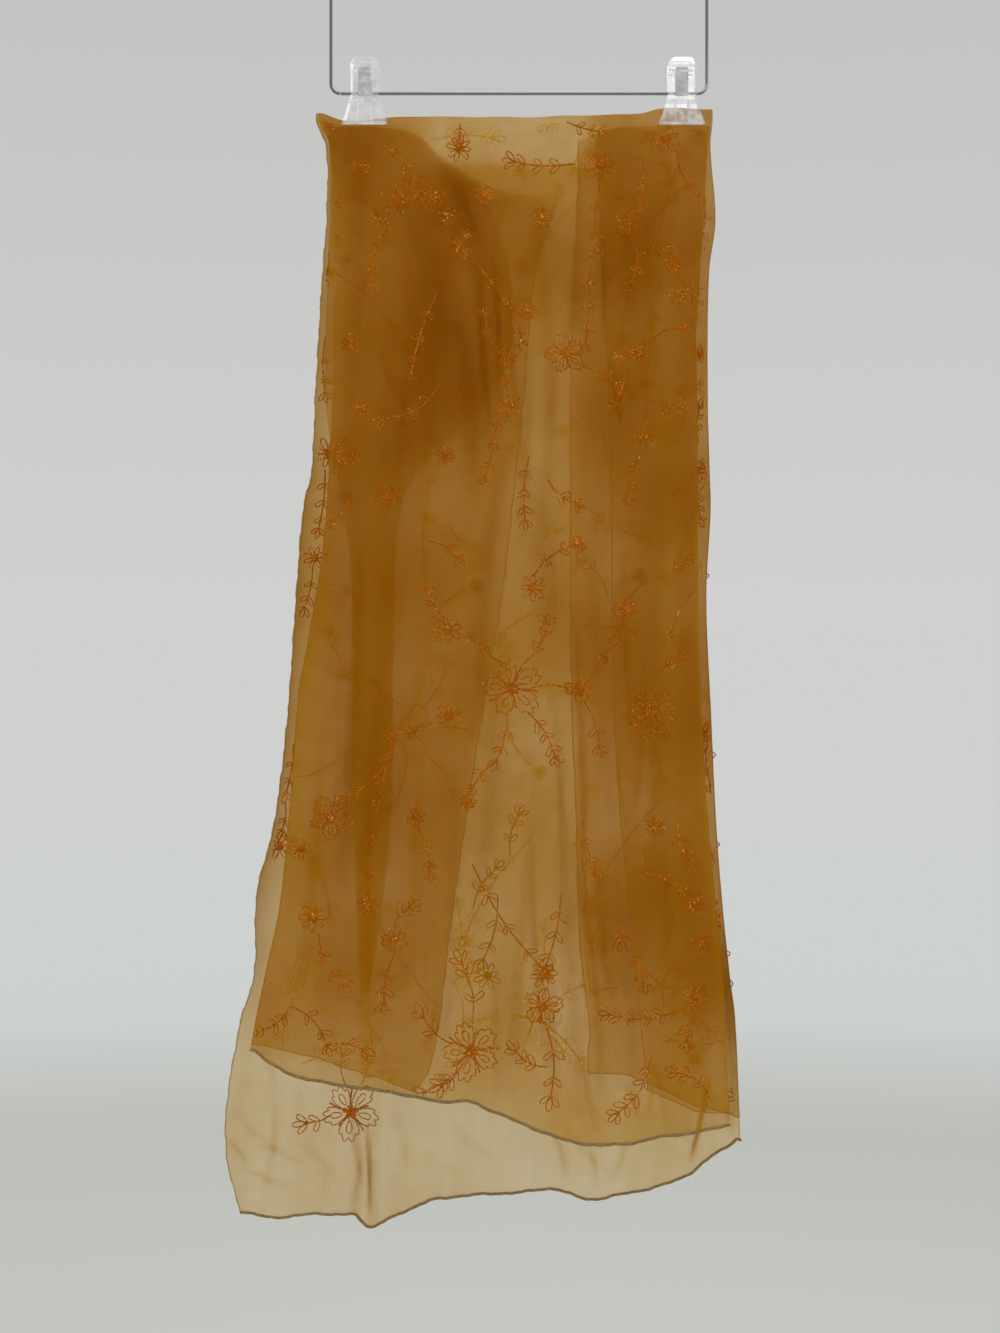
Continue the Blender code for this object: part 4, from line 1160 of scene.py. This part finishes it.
# across and drop of both ends, bow, pairs of leaves, leaf length
FRONT_SPRIGS = [
    (52, 68, -4, 66, 3, 3, 11), (-113, 108, -142, 182, -6, 3, 9), (-80, 130, -14, 198, 5, 2, 8),
    (-57, 26, -57, 42, 1, 1, 8), (-12, 200, 2, 236, 4, 2, 8), (-75, 278, -128, 312, 9, 3, 9),
    (10, 345, 6, 408, -3, 3, 9), (28, 370, 52, 392, -4, 1, 10), (13, 462, 52, 432, 5, 2, 9),
    (-20, 300, -32, 366, 3, 3, 8), (-86, 428, -60, 442, 3, 1, 9), (-72, 500, -84, 478, 2, 1, 9),
    (-80, 598, -116, 612, 3, 1, 9), (-116, 612, -166, 672, 10, 3, 10), (-126, 640, -142, 762, -4, 3, 9),
    (-10, 592, -21, 636, 2, 2, 10), (-21, 636, -48, 672, -4, 2, 9), (8, 590, 34, 632, 4, 3, 10),
    (-12, 545, -42, 522, 3, 1, 9), (4, 545, 26, 508, -4, 2, 10), (18, 566, 44, 567, 2, 0, 8),
    (62, 580, 76, 622, 3, 1, 10), (-44, 735, 22, 832, -6, 3, 11), (40, 760, 25, 832, 3, 3, 11),
    (-44, 884, -54, 828, -5, 2, 13), (-62, 903, -90, 880, 4, 1, 13), (-56, 926, -72, 942, 2, 1, 12),
    (26, 888, 30, 952, 5, 2, 12), (26, 925, -2, 912, 4, 2, 11), (124, 912, 94, 968, 8, 4, 11),
    (150, 872, 86, 876, 6, 4, 10), (150, 690, 162, 732, -5, 2, 10), (120, 742, 160, 768, 5, 2, 9),
    (-118, 820, -128, 866, -3, 2, 10), (-118, 794, -104, 776, 3, 1, 11), (-190, 800, -168, 846, -5, 2, 10),
    (-216, 868, -248, 892, 5, 3, 9), (-216, 868, -182, 905, 6, 2, 10), (-182, 905, -148, 909, 4, 1, 11),
    (-194, 456, -208, 486, 2, 1, 9), (120, 340, 104, 384, -4, 2, 8), (126, 318, 150, 300, 3, 1, 8),
    (134, 230, 168, 226, 3, 1, 8), (100, 268, 92, 296, 2, 1, 8), (140, 470, 158, 446, 4, 1, 9),
    (-160, 380, -176, 410, 4, 2, 8), (78, 82, 74, 150, -3, 2, 8), (128, 560, 150, 540, 3, 1, 9),
    (166, 872, 158, 900, -3, 1, 9), (180, 955, 150, 930, -6, 2, 10), (112, 148, 108, 180, 2, 1, 8),
    (166, 476, 144, 514, -3, 0, 7), (-44, 910, -88, 950, 4, 1, 12), (-113, 98, -84, 97, 3, 0, 7),
    (-8, 298, -12, 262, 2, 1, 8), (60, 262, 92, 278, 4, 1, 8), (-20, 250, -32, 214, 3, 1, 8),
    (-78, 192, -102, 266, -3, 3, 8), (68, 160, 63, 240, 2, 3, 8), (134, 231, 98, 252, 2, 2, 8),
    (150, 170, 166, 194, -2, 1, 8), (-136, 46, -98, 80, 3, 2, 9), (110, 157, 138, 150, 1, 1, 8),
    (118, 68, 114, 112, 2, 2, 8), (150, 54, 168, 96, -4, 2, 9), (46, 28, 76, 37, -1, 2, 8),
    (-62, 160, -52, 138, 1, 1, 7), (96, 500, 82, 536, 2, 1, 8), (-96, 700, -84, 742, 3, 2, 9),
    (60, 690, 72, 740, -2, 2, 9), (100, 812, 118, 846, 3, 2, 9),
]


def garland(scalloped, looped, sprigs, close_middle):
    lines = []
    for x, drop, radius in scalloped:
        lines += scalloped_flower(x, drop, radius, close_middle)
    for x, drop, radius in looped:
        lines += looped_flower(x, drop, radius, close_middle)
    for row in sprigs:
        lines += sprig(*row)
    return lines


def carried(mirror, shift_x, shift_drop):
    """The same repeat of the design further on in the cloth."""
    design = []
    for rows, places in ((FRONT_SCALLOPED, (0,)), (FRONT_LOOPED, (0,)), (FRONT_SPRIGS, (0, 2))):
        moved = [list(row) for row in rows]
        for row in moved:
            for i in places:
                row[i] = mirror * row[i] + shift_x
                row[i + 1] += shift_drop
        design.append(moved)
    return design


def stitched(name, ply, lines):
    """The lines of a design, each laid on its face of a stretch of cloth, cut off at its edges."""
    laid = []
    for points, thickness, closed, face in lines:
        x, drop = points[:, 0] * MM, points[:, 1] * MM
        top, hem = ply.top(x) + EDGE_ROOM, ply.hem(x) - EDGE_ROOM
        left, right = ply.left(drop) + EDGE_ROOM, ply.right(drop) - EDGE_ROOM
        kept = (drop > top) & (drop < hem) & (x > left) & (x < right)
        if not kept.any():
            continue
        y, _, _ = ply.depth(x, drop)
        place = np.stack([x, y + face * THREAD_STANDOFF, BAR_Z - drop], axis=1)
        if kept.all():
            laid.append((place, thickness, closed))
            continue
        starts = np.flatnonzero(np.diff(np.concatenate([[0], kept.astype(int), [0]])))
        for start, stop in zip(starts[::2], starts[1::2]):
            if stop - start > 1:
                laid.append((place[start:stop], thickness, False))
    made = new_object(name, tube_mesh(name, laid, THREAD_RADIUS, 0))
    made.visible_shadow = False
    made.visible_diffuse = False
    made.visible_transmission = False
    return made


thread, nodes, links, output = new_material("rust_thread_with_metal")
specks = object_noise(nodes, links, 640.0, detail=1.0)
spark = add_node(nodes, "MapRange", From_Min=0.63, From_Max=0.655)
tint = object_noise(nodes, links, 45.0)
rust = colour_mix(nodes, (0.21, 0.052, 0.002), (0.56, 0.145, 0.003))
matt = add_node(nodes, "BsdfPrincipled", Roughness=0.6, Specular_IOR_Level=0.0)
glint = add_node(
    nodes, "BsdfPrincipled", Base_Color=(1.0, 0.60, 0.12, 1.0), Metallic=1.0, Roughness=0.28,
)
twist = add_node(nodes, "MixShader")
join(
    links, (specks, "Fac", spark, "Value"), (spark, "Result", twist, "Fac"),
    (tint, "Fac", rust, "Factor"), (rust, "Result", matt, "Base Color"), (matt, "BSDF", twist, 1),
    (glint, "BSDF", twist, 2), (twist, "Shader", output, "Surface"),
)

# motifs that no other cloth covers: flowers and sprigs as above
OPEN_MOTIFS = {
    "back_drop": (
        [(-162, 976, 27)],
        [(-183, 343, 15), (-196, 443, 11), (-231, 720, 13), (-30, 846, 13), (170, 925, 16)],
        [
            (-182, 980, -204, 988, 2, 1, 12), (-166, 950, -170, 922, 3, 1, 11),
            (-152, 950, -146, 925, -3, 2, 9), (-8, 730, 0, 690, 4, 2, 10),
            (-20, 770, -34, 830, 4, 2, 10), (-44, 780, -22, 742, 4, 2, 9),
            (-186, 358, -192, 414, 2, 3, 9), (-198, 452, -206, 490, 2, 2, 9),
            (-182, 150, -186, 176, 2, 1, 8), (-186, 232, -186, 284, -2, 2, 9),
            (-217, 622, -224, 668, 2, 2, 9), (-225, 676, -228, 704, 2, 1, 9),
        ],
    ),
    "back_right_turn": (
        [], [(174, 247, 10), (173, 360, 11), (180, 612, 10), (197, 795, 11)],
        [
            (172, 332, 173, 300, 2, 2, 8), (172, 372, 174, 404, -2, 2, 8),
            (180, 625, 184, 660, -2, 1, 8), (194, 752, 196, 780, 2, 1, 8),
        ],
    ),
}
# how the repeat lies on each hidden stretch: mirrored or not, its shift across and down
REPEATS = {
    "back_drop": (-1, -30, -25), "front_left_turn": (1, -96, 40),
    "front_right_turn": (-1, 90, -60), "back_right_turn": (1, 60, 30),
}
DESIGNS = {"front_drop": (FRONT_SCALLOPED, FRONT_LOOPED, FRONT_SPRIGS)}
DESIGNS.update({name: carried(*shift) for name, shift in REPEATS.items()})
needlework = {}
for name, design in DESIGNS.items():
    full = name == "front_drop"
    share = 1.0 if full else FINE_SHARE
    right_side = -PLIES[name].half if PLIES[name].inset else PLIES[name].half
    lines = [
        (points, share * thickness, closed, right_side)
        for points, thickness, closed in garland(*design, full)
    ]
    if name in OPEN_MOTIFS:
        lines += [(*line, FRONT) for line in garland(*OPEN_MOTIFS[name], True)]
    piece = stitched(name + "_embroidery", PLIES[name], lines)
    piece.data.materials.append(thread)
    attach(piece, "root")
    needlework[name] = piece

# Loose threads: small loops of the same thread that stand off the turned right-hand side,
# where a motif runs round the fold.
# drop, how far the loop stands out, its length
EDGE_LOOPS = [(460, 2.2, 4.5), (632, 2.4, 6.0), (718, 2.0, 4.0), (823, 2.6, 5.5), (852, 2.2, 6.5)]
LOOP_INSET = 1.0 * MM
back_half = PLIES["back_drop"]
laid = []
for drop, stand, length in EDGE_LOOPS:
    t = np.linspace(0.0, math.pi, LOOP_STEPS)
    down = (drop + length * (t / math.pi - 0.5)) * MM
    edge = back_half.right(down)
    y, _, _ = back_half.depth(edge - LOOP_INSET, down)
    y = y - back_half.half * back_half.separation(edge, down) / 2.0
    laid.append((np.stack([edge + stand * MM * np.sin(t), y, BAR_Z - down], axis=1), 1.0, False))
loose = new_object("loose_thread_loops", tube_mesh("loose_thread_loops", laid, THREAD_RADIUS, 0))
loose.data.materials.append(thread)
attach(loose, "root")

# The two clips grip the crown of the fold and all else hangs free.
# Each stretch's own share of the flat cloth, width and length.
FLAT_SHARES = {
    "front_drop": (0.41, 0.96, ["front_hem"]),
    "back_drop": (0.44, 1.03, ["back_hem", "back_side_hem"]),
    "front_left_turn": (0.19, 0.88, ["front_left_turn_hem"]),
    "front_right_turn": (0.13, 0.90, ["front_right_turn_hem"]),
    "back_right_turn": (0.10, 0.90, ["back_right_turn_hem"]),
    "back_left_turn": (0.08, 0.80, []),
}
for name, (width, length, hem_names) in FLAT_SHARES.items():
    going = [hems[hem] for hem in hem_names]
    if name in needlework:
        going.append(needlework[name])
    if name == "back_drop":
        going.append(loose)
